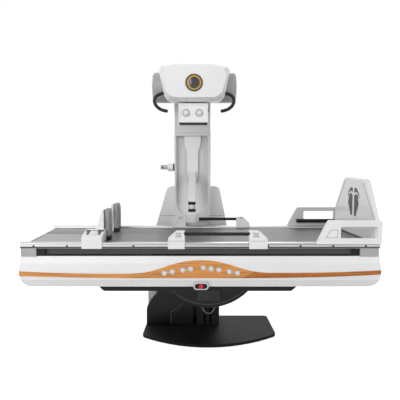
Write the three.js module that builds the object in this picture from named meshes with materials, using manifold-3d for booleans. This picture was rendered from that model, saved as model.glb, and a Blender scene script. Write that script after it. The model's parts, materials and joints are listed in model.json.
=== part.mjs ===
// A tilting radiography table: a floor stand with a lift and tilt drive behind a long table,
// a rear column with an X-ray tube head over it, and accessories clamped to its side rails.
// Millimetres, +Z up. X runs along the table with the foot end at +X, and the operator stands at -Y.
// The origin is on the underside of the floor plate, straight below the tilt axis.
import * as THREE from 'three';
import { mergeVertices } from 'three/addons/utils/BufferGeometryUtils.js';
import Module from 'manifold-3d';

const wasm = await Module();
wasm.setup();

// Driving dimensions: the table, its place beside the stand, and the height of its surface.
const TABLE_LENGTH = 2100;
const TABLE_DEPTH = 760;
const TOP_Z = 800;
const TABLE_X = -60;
const REAR_Y = -190;
const GAP = 0.3;
const RUNNING = 0.4;

const LEFT_X = TABLE_X - TABLE_LENGTH / 2;
const RIGHT_X = TABLE_X + TABLE_LENGTH / 2;
const FRONT_Y = REAR_Y - TABLE_DEPTH;
const MID_Y = (FRONT_Y + REAR_Y) / 2;

// Floor plate and stand.
const PLATE_TOP = 22;
const PLATE_FRONT = { left: [-490, -128], nose: [5, -349], right: [508, -111] };
const PLATE_BACK = { left: -480, right: 494, y: 348 };
const PLATE_CORNER = 34;
const MAST_HALF = 87;
const MAST_Y = [115, 195];
const MAST_TOP = 1078;
const MAST_GROOVE = { half: 32, depth: 58 };
const COVER_Y = [112, 198];
const COVER_WALL = 6;
const COVER_STEP = 10;
const SHELL_Y = [198.5, 330];

// Lift carriage, lift ram and tilt drive. Heights from here on are before the carriage is raised on the mast.
const REST_LIFT = 38;
const TILT_Z = 598;
const SHAFT_R = 50;
const CARRIAGE_Y = [75, 110];
const CARRIAGE_Z = [468, 728];
const CARRIAGE_HALF = MAST_HALF + RUNNING + 14;
const CHEEK = 14;
const RAM = { y: 143, barrelR: 25, boreR: 15.5, rodR: 15, top: 440, rodFoot: 90 - REST_LIFT, lugZ: [500, 532] };
const MOTOR = { r: 48, z: 484, y: [-30, 74.7] };
const SECTOR_R = 413;
const SECTOR_Y = [-120, -40];
const SECTOR_FLAT = 640;
const BRACKET_Y = [-199.7, -120.3];
const HOOP = { x: 4, y: -80, half: 60, top: 188, bottom: 125, rodR: 6.5 };
const BEAM = { topZ: 547 - RUNNING, bottomZ: 489, y: [FRONT_Y + 140, -200], wall: 8 };

// Table body: front and rear panels, ends and floor, with a control band on the front.
const BODY_TOP = 731;
const BODY_BOTTOM = 547;
const BODY_REAR = -205;
const BODY_WALL = 11;
const BODY_LEFT = LEFT_X - 7;
const BODY_RIGHT = RIGHT_X + 7;
const BODY_CORNER = 70;
const BODY_WAIST = 15;
const BAND_THICK = 3;
const BUTTON_R = 16;
const BUTTON_CLEAR = 0.6;
const BUTTON_PROUD = 5;
const BUTTON_XZ = [
  [-268, 635], [-222, 643], [-160, 653], [-114, 660], [-41, 667],
  [5, 661], [50, 654], [112, 644], [158, 636],
];
const STOP = { x: -54, z: 558, width: 90, height: 46, r: 19, front: FRONT_Y - 18, back: FRONT_Y + 34, travel: 8 };
const TRACK = { x: [LEFT_X + 110, RIGHT_X - 110], y: [-204.5, -191], z: [650, 728] };

// Tabletop, side rails and cross beams.
const TOP_THICK = 18;
const RAIL_WIDTH = 20;
const RAIL_Z = [778, 803];
const RIB = { y: [FRONT_Y + 42, FRONT_Y + 66], z: 736 };
const BEAM_BOTTOM = BODY_TOP + RUNNING;
const CROSS_BEAMS = { left: [LEFT_X + 5, LEFT_X + 95], right: [RIGHT_X - 116, RIGHT_X - 7] };

// Accessories on the rails.
const CLAMP_OUT = 8;
const SHOULDER_X = LEFT_X + 480;
const SHOULDER = { x: [SHOULDER_X - 119, SHOULDER_X], padX: [SHOULDER_X - 12.7, SHOULDER_X + 29], padZ: [816, 997] };
const GRIP_FRONT = { left: [-246, -149], right: [226, 333] };
const GRIP_REAR = { left: [-258, -163], right: [200, 293] };
const GRIP_TOP = 879;
const GRIP_BAR = { r: 10.5, z: 861, inset: 18 };
const FOOT_X = [RIGHT_X - 85, RIGHT_X - 5];
const FOOT_WAIST = 946;
const FOOT_SPLAY = 57;
const FOOT_PANEL = {
  front: { reach: [294, 224], window: [-149, 63], windowZ: [838, 906] },
  rear: { reach: [345, 269], window: [-222, -8], windowZ: [860, 917] },
  top: 944,
};
const FOOT_Z = [RAIL_Z[1] + GAP, 1172];
const PANEL_THICK = 20;

// Rear column, tube head and compressor.
const COLUMN_X = [-246, 17];
const COLUMN_MID = -114.5;
const COLUMN_Y = [-110, 0];
const COLUMN_Z = [720, 1476];
const RECESS = { x: [-231, -6], z: 893, depth: 50, r: 62 };
const LEAN = { x: -115, z: 790, r: 38 };
const INNER_MAST = { x: [-165, -65], y: [-52, -8], z: 1000 };
const ARM_X = [-244, 15];
const ARM_FRONT = -394;
const HEAD_X = -96;
const TUBE = { y: -500, z: 1753, r: 98, length: 532 };
const ARM_Z = [COLUMN_Z[1] + RUNNING, TUBE.z + 97];
const ARM_UNDER = TUBE.z - 63;
const COVER = { y: [-716, -604], bevel: 10 };
const DISPLAY_R = 53;
const COLLIMATOR = { x: [HEAD_X - 98, HEAD_X + 86], y: [-660, -480], z: [TUBE.z - 232, TUBE.z - 113] };
const KNOB = { r: 14, z: TUBE.z - 173, x: [HEAD_X - 51, HEAD_X + 32] };
const SWING = { y: -100.4, z: 1185, r: 16 };
const CONE = { x: -115, y: -385 };
const LEVER_Y = -78;
const LEVER_Z = 1228;
const DETECTOR = { size: 430, z: [690, 725] };
const LINK = { half: 42, z: [738, 768] };

const FINISH = {
  black: { color: 0x0b0b0c, roughness: 0.35, metalness: 0.3 },
  white: { color: 0xe9e9ea, roughness: 0.4, metalness: 0 },
  grey: { color: 0xa9abac, roughness: 0.5, metalness: 0 },
  top: { color: 0x58595b, roughness: 0.45, metalness: 0 },
  aluminium: { color: 0xc9cbcc, roughness: 0.3, metalness: 0.9 },
  steel: { color: 0x8d9093, roughness: 0.35, metalness: 1 },
  wood: { color: 0xcf8d52, roughness: 0.4, metalness: 0 },
  pad: { color: 0x8a8b8d, roughness: 0.8, metalness: 0 },
  red: { color: 0xc4161c, roughness: 0.4, metalness: 0 },
};

const X_AXIS = new THREE.Vector3(1, 0, 0);
const Y_AXIS = new THREE.Vector3(0, 1, 0);
const Z_AXIS = new THREE.Vector3(0, 0, 1);
const CURVE_STEPS = 5;
const ROUND_SIDES = 28;

// A closed outline from corners [x, y, radius]. A corner with a radius is rounded by a curve.
function outline(corners) {
  const shape = new THREE.Shape();
  corners.forEach(([x, y, radius = 0], index) => {
    const here = new THREE.Vector2(x, y);
    const before = new THREE.Vector2(...corners.at(index - 1).slice(0, 2)).sub(here);
    const after = new THREE.Vector2(...corners[(index + 1) % corners.length].slice(0, 2)).sub(here);
    const start = before.setLength(radius).add(here);
    const end = after.setLength(radius).add(here);
    if (index === 0) shape.moveTo(start.x, start.y);
    else shape.lineTo(start.x, start.y);
    if (radius > 0) shape.quadraticCurveTo(x, y, end.x, end.y);
  });
  shape.closePath();
  return shape;
}

function extrude(shape, depth, basis, offset, steps = CURVE_STEPS) {
  const geometry = new THREE.ExtrudeGeometry(shape, { depth, bevelEnabled: false, curveSegments: steps });
  return geometry.applyMatrix4(new THREE.Matrix4().makeBasis(...basis).setPosition(offset));
}

// A (y, z) outline swept along X, an (x, z) outline swept along Y, and an (x, y) outline swept up Z.
const alongX = (shape, [from, to], steps) =>
  extrude(shape, to - from, [Y_AXIS, Z_AXIS, X_AXIS], new THREE.Vector3(from, 0, 0), steps);
const alongY = (shape, [from, to], steps) =>
  extrude(shape, to - from, [X_AXIS, Z_AXIS, Y_AXIS.clone().negate()], new THREE.Vector3(0, to, 0), steps);
const alongZ = (shape, [from, to], steps) =>
  extrude(shape, to - from, [X_AXIS, Y_AXIS, Z_AXIS], new THREE.Vector3(0, 0, from), steps);

function block([x0, x1], [y0, y1], [z0, z1]) {
  const geometry = new THREE.BoxGeometry(x1 - x0, y1 - y0, z1 - z0);
  return geometry.translate((x0 + x1) / 2, (y0 + y1) / 2, (z0 + z1) / 2);
}

function roundY(x, z, radius, [y0, y1], sides = ROUND_SIDES) {
  const geometry = new THREE.CylinderGeometry(radius, radius, y1 - y0, sides);
  return geometry.translate(x, (y0 + y1) / 2, z);
}

function roundX(y, z, radius, [x0, x1], sides = ROUND_SIDES) {
  const geometry = new THREE.CylinderGeometry(radius, radius, x1 - x0, sides).rotateZ(-Math.PI / 2);
  return geometry.translate((x0 + x1) / 2, y, z);
}

// A profile of [radius, height] pairs turned about Z.
function turned(profile, sides = ROUND_SIDES) {
  const points = profile.map(([radius, height]) => new THREE.Vector2(radius, height));
  return new THREE.LatheGeometry(points, sides).rotateX(Math.PI / 2);
}

function rod(points, radius, sides = 10, steps = 24) {
  const curve = new THREE.CatmullRomCurve3(points.map((point) => new THREE.Vector3(...point)));
  const section = new THREE.Shape();
  section.absarc(0, 0, radius, 0, 2 * Math.PI);
  const options = { steps, extrudePath: curve, curveSegments: sides / 2 };
  return new THREE.ExtrudeGeometry(section, options);
}

function solid(geometry) {
  const plain = geometry.clone();
  plain.deleteAttribute('normal');
  plain.deleteAttribute('uv');
  const merged = mergeVertices(plain, 1e-4);
  return new wasm.Manifold(new wasm.Mesh({
    numProp: 3,
    vertProperties: Float32Array.from(merged.attributes.position.array),
    triVerts: Uint32Array.from(merged.index.array),
  }));
}

function surface(manifold) {
  const mesh = manifold.getMesh();
  const geometry = new THREE.BufferGeometry();
  geometry.setAttribute('position', new THREE.BufferAttribute(mesh.vertProperties, 3));
  geometry.setIndex(new THREE.BufferAttribute(mesh.triVerts, 1));
  geometry.computeVertexNormals();
  return geometry;
}

const join = (...pieces) => surface(pieces.map(solid).reduce((sum, piece) => sum.add(piece)));
const cut = (base, ...tools) => surface(tools.map(solid).reduce((rest, tool) => rest.subtract(tool), solid(base)));
const common = (first, second) => surface(solid(first).intersect(solid(second)));

function part(name, geometry, finish) {
  const mesh = new THREE.Mesh(geometry, new THREE.MeshStandardMaterial(FINISH[finish]));
  mesh.name = name;
  return mesh;
}

function assembly(...children) {
  const group = new THREE.Group();
  group.add(...children);
  return group;
}

// Floor stand: plate, mast with its ram, and the covers beside and behind the mast.
function floorPlate() {
  const { left, nose, right } = PLATE_FRONT;
  const pull = [2 * nose[0] - (left[0] + right[0]) / 2, 2 * nose[1] - (left[1] + right[1]) / 2];
  const front = new THREE.QuadraticBezierCurve(
    new THREE.Vector2(...left), new THREE.Vector2(...pull), new THREE.Vector2(...right));
  const arc = front.getPoints(14).map((point) => [point.x, point.y]);
  arc[0].push(PLATE_CORNER);
  arc.at(-1).push(PLATE_CORNER);
  const back = [
    [PLATE_BACK.right, PLATE_BACK.y, PLATE_CORNER],
    [PLATE_BACK.left, PLATE_BACK.y, PLATE_CORNER],
  ];
  return alongZ(outline([...arc, ...back]), [0, PLATE_TOP]);
}

function liftMast() {
  const column = block([-MAST_HALF, MAST_HALF], MAST_Y, [PLATE_TOP + GAP, MAST_TOP]);
  const groove = block(
    [-MAST_GROOVE.half, MAST_GROOVE.half],
    [MAST_Y[0] - 1, MAST_Y[0] + MAST_GROOVE.depth],
    [PLATE_TOP + 8, MAST_TOP + 1]);
  return cut(column, groove);
}

function ramBarrel() {
  const foot = PLATE_TOP + 8.5;
  const floor = foot + 6;
  const { barrelR, boreR, top, y } = RAM;
  const profile = [[0, foot], [barrelR, foot], [barrelR, top], [boreR, top], [boreR, floor], [0, floor]];
  return turned(profile, 20).translate(0, y, 0);
}

function standCover() {
  const low = PLATE_TOP + GAP;
  const face = outline([
    [-482, low], [-112, low], [-112, 450], [-262, 450], [-402, 268, 40], [-482, 168, 40],
  ]);
  const step = outline([
    [-285, low], [-112, low], [-112, 244], [-285, 82],
  ]);
  const inside = outline([
    [-482 + COVER_WALL, low - 1], [-112 - COVER_WALL, low - 1], [-112 - COVER_WALL, 450 - COVER_WALL],
    [-262, 450 - COVER_WALL], [-402 + COVER_WALL, 264, 36], [-482 + COVER_WALL, 166, 36],
  ]);
  const front = COVER_Y[0] + COVER_STEP;
  const shell = cut(
    join(alongY(face, [front, COVER_Y[1]]), alongY(step, [COVER_Y[0], front + 2])),
    alongY(inside, [front + 2 + COVER_WALL, COVER_Y[1] + 1]));
  return shell;
}

function standRearShell() {
  const low = PLATE_TOP + GAP;
  const wall = COVER_WALL;
  const face = outline([[-475, low], [95, low], [95, 560, 40], [-262, 560, 60], [-475, 310, 60]]);
  const inside = outline([
    [-475 + wall, low - 1], [95 - wall, low - 1], [95 - wall, 560 - wall, 36],
    [-262, 560 - wall, 56], [-475 + wall, 310, 56],
  ]);
  return cut(alongY(face, SHELL_Y), alongY(inside, [SHELL_Y[0] - 1, SHELL_Y[1] - wall]));
}

// Lift carriage: a plate ahead of the mast, cheeks beside it, and a lug that the ram pushes.
function liftCarriage() {
  const plate = block([-CARRIAGE_HALF, CARRIAGE_HALF], CARRIAGE_Y, CARRIAGE_Z);
  const cheek = (from) => block([from, from + CHEEK], [CARRIAGE_Y[1] - 1, MAST_Y[1]], CARRIAGE_Z);
  const lug = block([-22, 22], [CARRIAGE_Y[1] - 1, RAM.y + RAM.rodR], RAM.lugZ);
  const bore = roundY(0, TILT_Z, SHAFT_R + 0.6, [CARRIAGE_Y[0] - 1, CARRIAGE_Y[1] + 1]);
  return cut(join(plate, cheek(-CARRIAGE_HALF), cheek(CARRIAGE_HALF - CHEEK), lug), bore);
}

function ramRod() {
  const head = RAM.lugZ[0] - GAP;
  return turned([[0, RAM.rodFoot], [RAM.rodR, RAM.rodFoot], [RAM.rodR, head], [0, head]], 20)
    .translate(0, RAM.y, 0);
}

// Tilt drive: the D-shaped sector with its shaft, the bracket that carries the table, and a guard rod.
function tiltSector() {
  const disc = roundY(0, TILT_Z, SECTOR_R, SECTOR_Y, 72);
  const above = block([-SECTOR_R - 1, SECTOR_R + 1], [SECTOR_Y[0] - 1, SECTOR_Y[1] + 1],
    [SECTOR_FLAT, TILT_Z + SECTOR_R + 1]);
  const shaft = roundY(0, TILT_Z, SHAFT_R, [SECTOR_Y[1] - 5, CARRIAGE_Y[1] - GAP]);
  return join(cut(disc, above), shaft);
}

function hubBracket() {
  const face = outline([[-80, 258, 14], [85, 258, 14], [85, 542], [-80, 542]]);
  return alongY(face, BRACKET_Y);
}

function cableHoop() {
  const { x, y, half, top, bottom, rodR } = HOOP;
  const bend = bottom + half;
  const points = [[x - half, y, top], [x - half, y, (top + bend) / 2]];
  for (let step = 0; step <= 6; step += 1) {
    const angle = Math.PI * (1 + step / 6);
    points.push([x + half * Math.cos(angle), y, bend - 1 + (bend - bottom - rodR) * Math.sin(angle)]);
  }
  points.push([x + half, y, (top + bend) / 2], [x + half, y, top]);
  return rod(points, rodR, 8, 24);
}

function shiftBeam() {
  const tray = outline([[-705, BEAM.topZ], [-651, BEAM.bottomZ, 10], [500, BEAM.bottomZ, 10], [565, BEAM.topZ]]);
  const inside = outline([
    [-705 + 16, BEAM.topZ + 1], [-651 + 8, BEAM.bottomZ + BEAM.wall],
    [500 - 8, BEAM.bottomZ + BEAM.wall], [565 - 16, BEAM.topZ + 1],
  ]);
  return cut(alongY(tray, BEAM.y), alongY(inside, [BEAM.y[0] + BEAM.wall, BEAM.y[1] - BEAM.wall]));
}

// Table body. The front profile (y, z) bulges around the control band, and both ends are rounded below.
const FRONT_PROFILE = [[12, BODY_TOP], [-1, 690], [-6, 640], [1, 592], [24, BODY_BOTTOM]]
  .map(([inward, z]) => [FRONT_Y + inward, z]);
const FRONT_REACH = [FRONT_Y - 50, FRONT_Y + 70];

const BODY_INSIDE_Y = [FRONT_PROFILE.at(-1)[0] + BODY_WALL + GAP, BODY_REAR - BODY_WALL - GAP];

function skin(inner, outer) {
  const moved = (out) => FRONT_PROFILE.map(([y, z]) => [y - out, z]);
  return outline([...moved(outer), ...moved(inner).reverse()]);
}

function bodySilhouette() {
  return outline([
    [BODY_LEFT + 7, BODY_TOP + 1], [BODY_LEFT, 640, BODY_WAIST], [BODY_LEFT + 8, BODY_BOTTOM - 1, BODY_CORNER],
    [BODY_RIGHT - 8, BODY_BOTTOM - 1, BODY_CORNER], [BODY_RIGHT, 640, BODY_WAIST], [BODY_RIGHT - 7, BODY_TOP + 1],
  ]);
}

const buttonHoles = () => BUTTON_XZ.map(([x, z]) =>
  roundY(x, z, BUTTON_R + BUTTON_CLEAR, FRONT_REACH, 20));

function stopOutline(grow) {
  const half = STOP.width / 2 + grow;
  const tall = STOP.height / 2 + grow;
  return outline([
    [STOP.x - half, STOP.z - tall, STOP.r], [STOP.x + half, STOP.z - tall, STOP.r],
    [STOP.x + half, STOP.z + tall, STOP.r], [STOP.x - half, STOP.z + tall, STOP.r],
  ]);
}

function bodyFront() {
  const panel = alongX(skin(-BODY_WALL, 0), [BODY_LEFT - 1, BODY_RIGHT + 1]);
  const trimmed = common(panel, alongY(bodySilhouette(), FRONT_REACH));
  return cut(trimmed, ...buttonHoles(), alongY(stopOutline(GAP), FRONT_REACH));
}

function woodBand() {
  const strip = alongX(skin(GAP, GAP + BAND_THICK), [BODY_LEFT + 1, BODY_RIGHT - 1]);
  const band = new THREE.Shape();
  band.moveTo(BODY_LEFT, 645);
  band.bezierCurveTo(-900, 634, -640, 624, -430, 632);
  band.bezierCurveTo(-290, 640, -230, 709, -54, 709);
  band.bezierCurveTo(110, 709, 180, 640, 330, 636);
  band.bezierCurveTo(560, 632, 800, 640, BODY_RIGHT, 651);
  band.lineTo(BODY_RIGHT, 627);
  band.bezierCurveTo(700, 606, 300, 602, -54, 604);
  band.bezierCurveTo(-500, 602, -800, 606, BODY_LEFT, 617);
  band.closePath();
  return cut(common(strip, alongY(band, FRONT_REACH, 9)), ...buttonHoles());
}

const bandFaceY = (z) => {
  const [low, high] = z < 640 ? [FRONT_PROFILE[3], FRONT_PROFILE[2]] : [FRONT_PROFILE[2], FRONT_PROFILE[1]];
  return low[0] + (high[0] - low[0]) * (z - low[1]) / (high[1] - low[1]) - BAND_THICK - GAP;
};

function button(index) {
  const [x, z] = BUTTON_XZ[index];
  const face = bandFaceY(z) - BUTTON_PROUD;
  return roundY(x, z, BUTTON_R, [face, face + 20], 20);
}

function stopBezel() {
  const frame = alongY(stopOutline(0), [STOP.front, STOP.back]);
  const well = roundY(STOP.x, STOP.z, 14, [STOP.front - 1, STOP.back - 6], 20);
  return cut(frame, well);
}

const stopButton = () => roundY(STOP.x, STOP.z, 13, [STOP.front - 8, STOP.back - 6 - STOP.travel - 1], 20);

function bodyEnd(side) {
  const edge = side < 0 ? BODY_LEFT : BODY_RIGHT;
  const at = (inward) => edge - side * inward;
  const inner = BODY_WALL;
  const corner = BODY_CORNER;
  const face = outline([
    [at(7), BODY_TOP], [at(0), 640, BODY_WAIST], [at(8), BODY_BOTTOM, corner], [at(8 + corner + 20), BODY_BOTTOM],
    [at(8 + corner + 20), BODY_BOTTOM + inner], [at(8 + inner), BODY_BOTTOM + inner, corner - inner],
    [at(inner), 640, BODY_WAIST], [at(7 + inner), BODY_TOP],
  ]);
  return alongY(face, BODY_INSIDE_Y);
}

function bodyFloor() {
  const inset = 8 + BODY_CORNER + 20 + GAP;
  return block([BODY_LEFT + inset, BODY_RIGHT - inset],
    BODY_INSIDE_Y, [BODY_BOTTOM, BODY_BOTTOM + BODY_WALL]);
}

function bodyRear() {
  const panel = block([BODY_LEFT - 1, BODY_RIGHT + 1], [BODY_REAR - BODY_WALL, BODY_REAR],
    [BODY_BOTTOM, BODY_TOP]);
  return common(panel, alongY(bodySilhouette(), [BODY_REAR - 50, BODY_REAR + 50]));
}

// Tabletop with a shallow groove along it, and the aluminium rails and cross beams that carry it.
function tabletop() {
  const front = FRONT_Y + RAIL_WIDTH + GAP;
  const rear = REAR_Y - RAIL_WIDTH - GAP;
  const low = TOP_Z - TOP_THICK;
  const grooveY = FRONT_Y + 439;
  const slab = outline([
    [front, low], [rear, low], [rear, TOP_Z], [grooveY + 4, TOP_Z], [grooveY, TOP_Z - 3],
    [grooveY - 4, TOP_Z], [front, TOP_Z],
  ]);
  const rib = block([CROSS_BEAMS.left[1] + 1, CROSS_BEAMS.right[0] - 1], RIB.y, [RIB.z, low + 1]);
  return join(alongX(slab, [LEFT_X, RIGHT_X]), rib);
}

function sideRail(side) {
  const outer = side < 0 ? FRONT_Y : REAR_Y;
  const inner = outer - side * RAIL_WIDTH;
  const profile = outline([
    [outer, RAIL_Z[0]], [outer, RAIL_Z[1] - 4], [outer - side * 5, RAIL_Z[1]], [inner, RAIL_Z[1] - 2],
    [inner, RAIL_Z[0]],
  ]);
  return alongX(profile, [LEFT_X, RIGHT_X]);
}

function crossBeam(reach) {
  const under = RAIL_Z[0] - GAP;
  const seat = TOP_Z - TOP_THICK - GAP;
  const inner = [FRONT_Y + RAIL_WIDTH + GAP, REAR_Y - RAIL_WIDTH - GAP];
  const profile = outline([
    [FRONT_Y + 2, BEAM_BOTTOM], [REAR_Y - 6, BEAM_BOTTOM], [REAR_Y - 6, under], [inner[1], under],
    [inner[1], seat], [inner[0], seat], [inner[0], under], [FRONT_Y + 2, under],
  ]);
  return alongX(profile, reach);
}

// Accessories. Each is drawn for one side of the table: side -1 is the front rail and +1 the rear rail,
// and out is a distance from the middle of the table toward that rail.
const outY = (side, out) => MID_Y + side * out;
const RAIL_OUT = TABLE_DEPTH / 2;
const span = (side, near, far) => [outY(side, near), outY(side, far)].sort((a, b) => a - b);

function shoulderClamp(side) {
  const seat = RAIL_Z[1] + GAP;
  const jaw = outline([
    [outY(side, RAIL_OUT + CLAMP_OUT), 776], [outY(side, RAIL_OUT + GAP), 776],
    [outY(side, RAIL_OUT + GAP), seat], [outY(side, 230), seat], [outY(side, 230), 872],
    [outY(side, 262), 872], [outY(side, RAIL_OUT + CLAMP_OUT), 846],
  ]);
  const gusset = outline([
    [SHOULDER_X - 105, seat], [SHOULDER.padX[0] - GAP, seat], [SHOULDER.padX[0] - GAP, 988],
    [SHOULDER_X - 25, 990], [SHOULDER_X - 60, 872], [SHOULDER_X - 105, 850],
  ]);
  return join(alongX(jaw, SHOULDER.x), alongY(gusset, span(side, 130, 240)));
}

// The pad's face is crowned along its height and across its width, and its corners are rounded.
function shoulderPad(side) {
  const [back, face] = SHOULDER.padX;
  const [low, high] = SHOULDER.padZ;
  const [near, far] = span(side, 128, 228);
  const crowned = (from, to) => {
    const shape = new THREE.Shape();
    shape.moveTo(back, from);
    shape.lineTo(face - 14, from);
    shape.quadraticCurveTo(face - 8, from, face - 7, from + 10);
    shape.quadraticCurveTo(face + 5, (from + to) / 2, face - 7, to - 10);
    shape.quadraticCurveTo(face - 8, to, face - 14, to);
    shape.lineTo(back, to);
    shape.closePath();
    return shape;
  };
  const plan = outline([[near, low, 18], [far, low, 18], [far, high, 18], [near, high, 18]]);
  const upright = common(alongY(crowned(low, high), [near, far], 8), alongX(plan, SHOULDER.padX));
  return common(upright, alongZ(crowned(near, far), SHOULDER.padZ, 8));
}

function grip(side, { left, right }) {
  const near = RAIL_OUT - 44;
  const bracket = ([from, to], slope) => {
    const [low, high] = [776, GRIP_TOP];
    const tall = slope < 0
      ? [[from, low], [to, low], [to, high, 6], [from + 48, high, 10], [from, 836, 6]]
      : [[from, low], [to, low], [to, 836, 6], [to - 48, high, 10], [from, high, 6]];
    const face = RAIL_OUT + CLAMP_OUT;
    const sloped = outline([
      [outY(side, face), low], [outY(side, face), 834], [outY(side, face - 34), high],
      [outY(side, near), high], [outY(side, near), low],
    ]);
    return common(alongY(outline(tall), span(side, near, face)), alongX(sloped, [from, to]));
  };
  const bar = roundX(outY(side, RAIL_OUT - GRIP_BAR.inset), GRIP_BAR.z, GRIP_BAR.r, [left[1] - 5, right[0] + 5], 16);
  const whole = join(bracket(left, -1), bracket(right, 1), bar);
  return cut(whole, block([-500, 500], span(side, near - 1, RAIL_OUT + GAP), [700, RAIL_Z[1] + GAP]));
}

// The footboard is full width up to the side panels' rim, narrows above it, and is thicker at its far side.
function footboard() {
  const [low, high] = FOOT_Z;
  const near = FRONT_Y + 12 + GAP;
  const far = REAR_Y - 12 - GAP;
  const face = outline([
    [near, low], [far, low], [far, FOOT_WAIST, 20], [far - 188, high, 34], [near + 188, high, 34],
    [near, FOOT_WAIST, 20],
  ]);
  const plan = outline([
    [FOOT_X[0], far], [FOOT_X[1], far], [FOOT_X[1], near], [FOOT_X[0] + FOOT_SPLAY, near],
  ]);
  return common(alongX(face, FOOT_X), alongZ(plan, FOOT_Z));
}

// A side panel of the footboard: a raked front edge and a window for the hand.
function footPanel(side, { reach: [low, high], window: [from, to], windowZ }) {
  const foot = FOOT_X[0] - low;
  const head = FOOT_X[0] - high;
  const end = FOOT_X[1] + 11;
  const rim = FOOT_PANEL.top;
  const frame = outline([[foot, FOOT_Z[0], 12], [head, rim, 14], [end, rim, 16], [end, FOOT_Z[0], 8]]);
  const window = outline([
    [FOOT_X[0] + from, windowZ[0], 8], [FOOT_X[0] + to, windowZ[0], 8],
    [FOOT_X[0] + to, windowZ[1], 8], [FOOT_X[0] + from, windowZ[1], 8],
  ]);
  const wide = span(side, RAIL_OUT - 12, RAIL_OUT + CLAMP_OUT);
  return cut(alongY(frame, wide), alongY(window, [wide[0] - 1, wide[1] + 1]));
}

// Rear column: a carriage on the body's track with a lean pivot, the post, and a cover behind it.
function columnCarriage() {
  const wide = [LEAN.x - 180, LEAN.x + 180];
  const foot = block(wide, [TRACK.y[1] + GAP, -122], [650, 734]);
  const back = block([LEAN.x - 110, LEAN.x + 110], [-172, -122], [733, 850]);
  const pivot = roundY(LEAN.x, LEAN.z, LEAN.r, [-123, 4.7]);
  const link = block([LEAN.x - LINK.half, LEAN.x + LINK.half], [MID_Y + 10, -171], LINK.z);
  return join(foot, back, pivot, link);
}

function detector() {
  const half = DETECTOR.size / 2;
  const panel = block([LEAN.x - half, LEAN.x + half], [MID_Y - half, MID_Y + half], DETECTOR.z);
  const seat = block([LEAN.x - 60, LEAN.x + 60], [MID_Y + 10, MID_Y + 150], [DETECTOR.z[1] - 1, LINK.z[0] - GAP]);
  return join(panel, seat);
}

function columnPost() {
  const body = block(COLUMN_X, COLUMN_Y, COLUMN_Z);
  const hollow = outline([
    [RECESS.x[0], RECESS.z, RECESS.r], [RECESS.x[1], RECESS.z, RECESS.r],
    [RECESS.x[1], COLUMN_Z[1] - 20], [RECESS.x[0], COLUMN_Z[1] - 20],
  ]);
  const pocket = INNER_MAST.x.map((x, index) => x + (index ? RUNNING : -RUNNING));
  const pocketY = INNER_MAST.y.map((y, index) => y + (index ? RUNNING : -RUNNING));
  const open = cut(body,
    alongY(hollow, [COLUMN_Y[0] - 1, COLUMN_Y[0] + RECESS.depth]),
    block(pocket, pocketY, [INNER_MAST.z - 20, COLUMN_Z[1] + 1]),
    roundY(LEAN.x, LEAN.z, LEAN.r + RUNNING, [COLUMN_Y[0] - 1, COLUMN_Y[1] + 1]));
  const bottle = outline([
    [-150, 1140, 20], [-80, 1140, 20], [-80, 1330, 20], [-56, 1385, 20], [-56, COLUMN_Z[1] - 15],
    [-174, COLUMN_Z[1] - 15], [-174, 1385, 20], [-150, 1330, 20],
  ]);
  return join(open, alongY(bottle, [COLUMN_Y[0] + 26, COLUMN_Y[0] + RECESS.depth + 1]));
}

function baseCover() {
  const face = outline([
    [-418, 700], [162, 700], [85, 1084, 40], [-306, 1084, 40],
  ]);
  return alongY(face, [5, 65]);
}

function tubeArm() {
  const [low, high] = ARM_Z;
  const side = outline([
    [COLUMN_Y[1], low], [COLUMN_Y[1], high, 60], [ARM_FRONT, high, 30], [ARM_FRONT, ARM_UNDER, 20],
    [COLUMN_Y[0], ARM_UNDER, 150], [COLUMN_Y[0], low],
  ]);
  const mast = block(INNER_MAST.x, INNER_MAST.y, [INNER_MAST.z, low + 5]);
  return join(alongX(side, ARM_X, 8), mast);
}

// Tube head: housing, front cover with a round display, hook handles and the collimator below.
function tubeHousing() {
  const half = TUBE.length / 2;
  const edge = 14;
  const { r, y, z } = TUBE;
  const barrel = turned([[0, -half], [r - edge, -half], [r, edge - half], [r, half - edge], [r - edge, half], [0, half]], 36)
    .rotateY(Math.PI / 2).translate(HEAD_X, y, z);
  const boss = roundY(HEAD_X, z, 70, [y + 40, ARM_FRONT - RUNNING]);
  const seat = roundY(HEAD_X, z, 60, [COVER.y[1] + GAP, y - 40]);
  return join(barrel, boss, seat);
}

// The front cover is wide and arched above and narrow below. Corners are [x, z, radius] from the tube's centre.
function coverOutline(grow) {
  const corners = [
    [-178, -105, 58], [182, -105, 58], [220, 83, 10], [206, 111, 12],
    [104, 127, 60], [-100, 127, 60], [-204, 111, 12], [-218, 83, 10],
  ];
  return outline(corners.map(([x, z, radius]) =>
    [HEAD_X + x + grow * Math.sign(x), TUBE.z + z + grow * Math.sign(z), radius]));
}

function headCover() {
  const size = COVER.bevel;
  const bevel = { bevelEnabled: true, bevelThickness: size, bevelSize: size, bevelOffset: -size, bevelSegments: 2 };
  const depth = COVER.y[1] - COVER.y[0] - 2 * size;
  const shape = new THREE.ExtrudeGeometry(coverOutline(0), { depth, curveSegments: 5, ...bevel });
  const turn = new THREE.Matrix4().makeBasis(X_AXIS, Z_AXIS, Y_AXIS.clone().negate());
  return shape.applyMatrix4(turn.setPosition(0, COVER.y[1] - size, 0));
}

const display = () => roundY(HEAD_X, TUBE.z + 6, DISPLAY_R, [COVER.y[0] - 7, COVER.y[0] - GAP], 32);

function handle(side) {
  const y = -650;
  const reach = [
    [150, -41], [196, -51], [236, -69], [248, -98], [238, -126], [215, -147], [190, -157], [168, -161],
  ];
  const hook = rod(reach.map(([out, z]) => [HEAD_X + side * out, y, TUBE.z + z]), 10.5, 10, 20);
  return cut(hook, alongY(coverOutline(GAP + 0.2), [COVER.y[0] - 20, COVER.y[1] + 20]));
}

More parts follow.
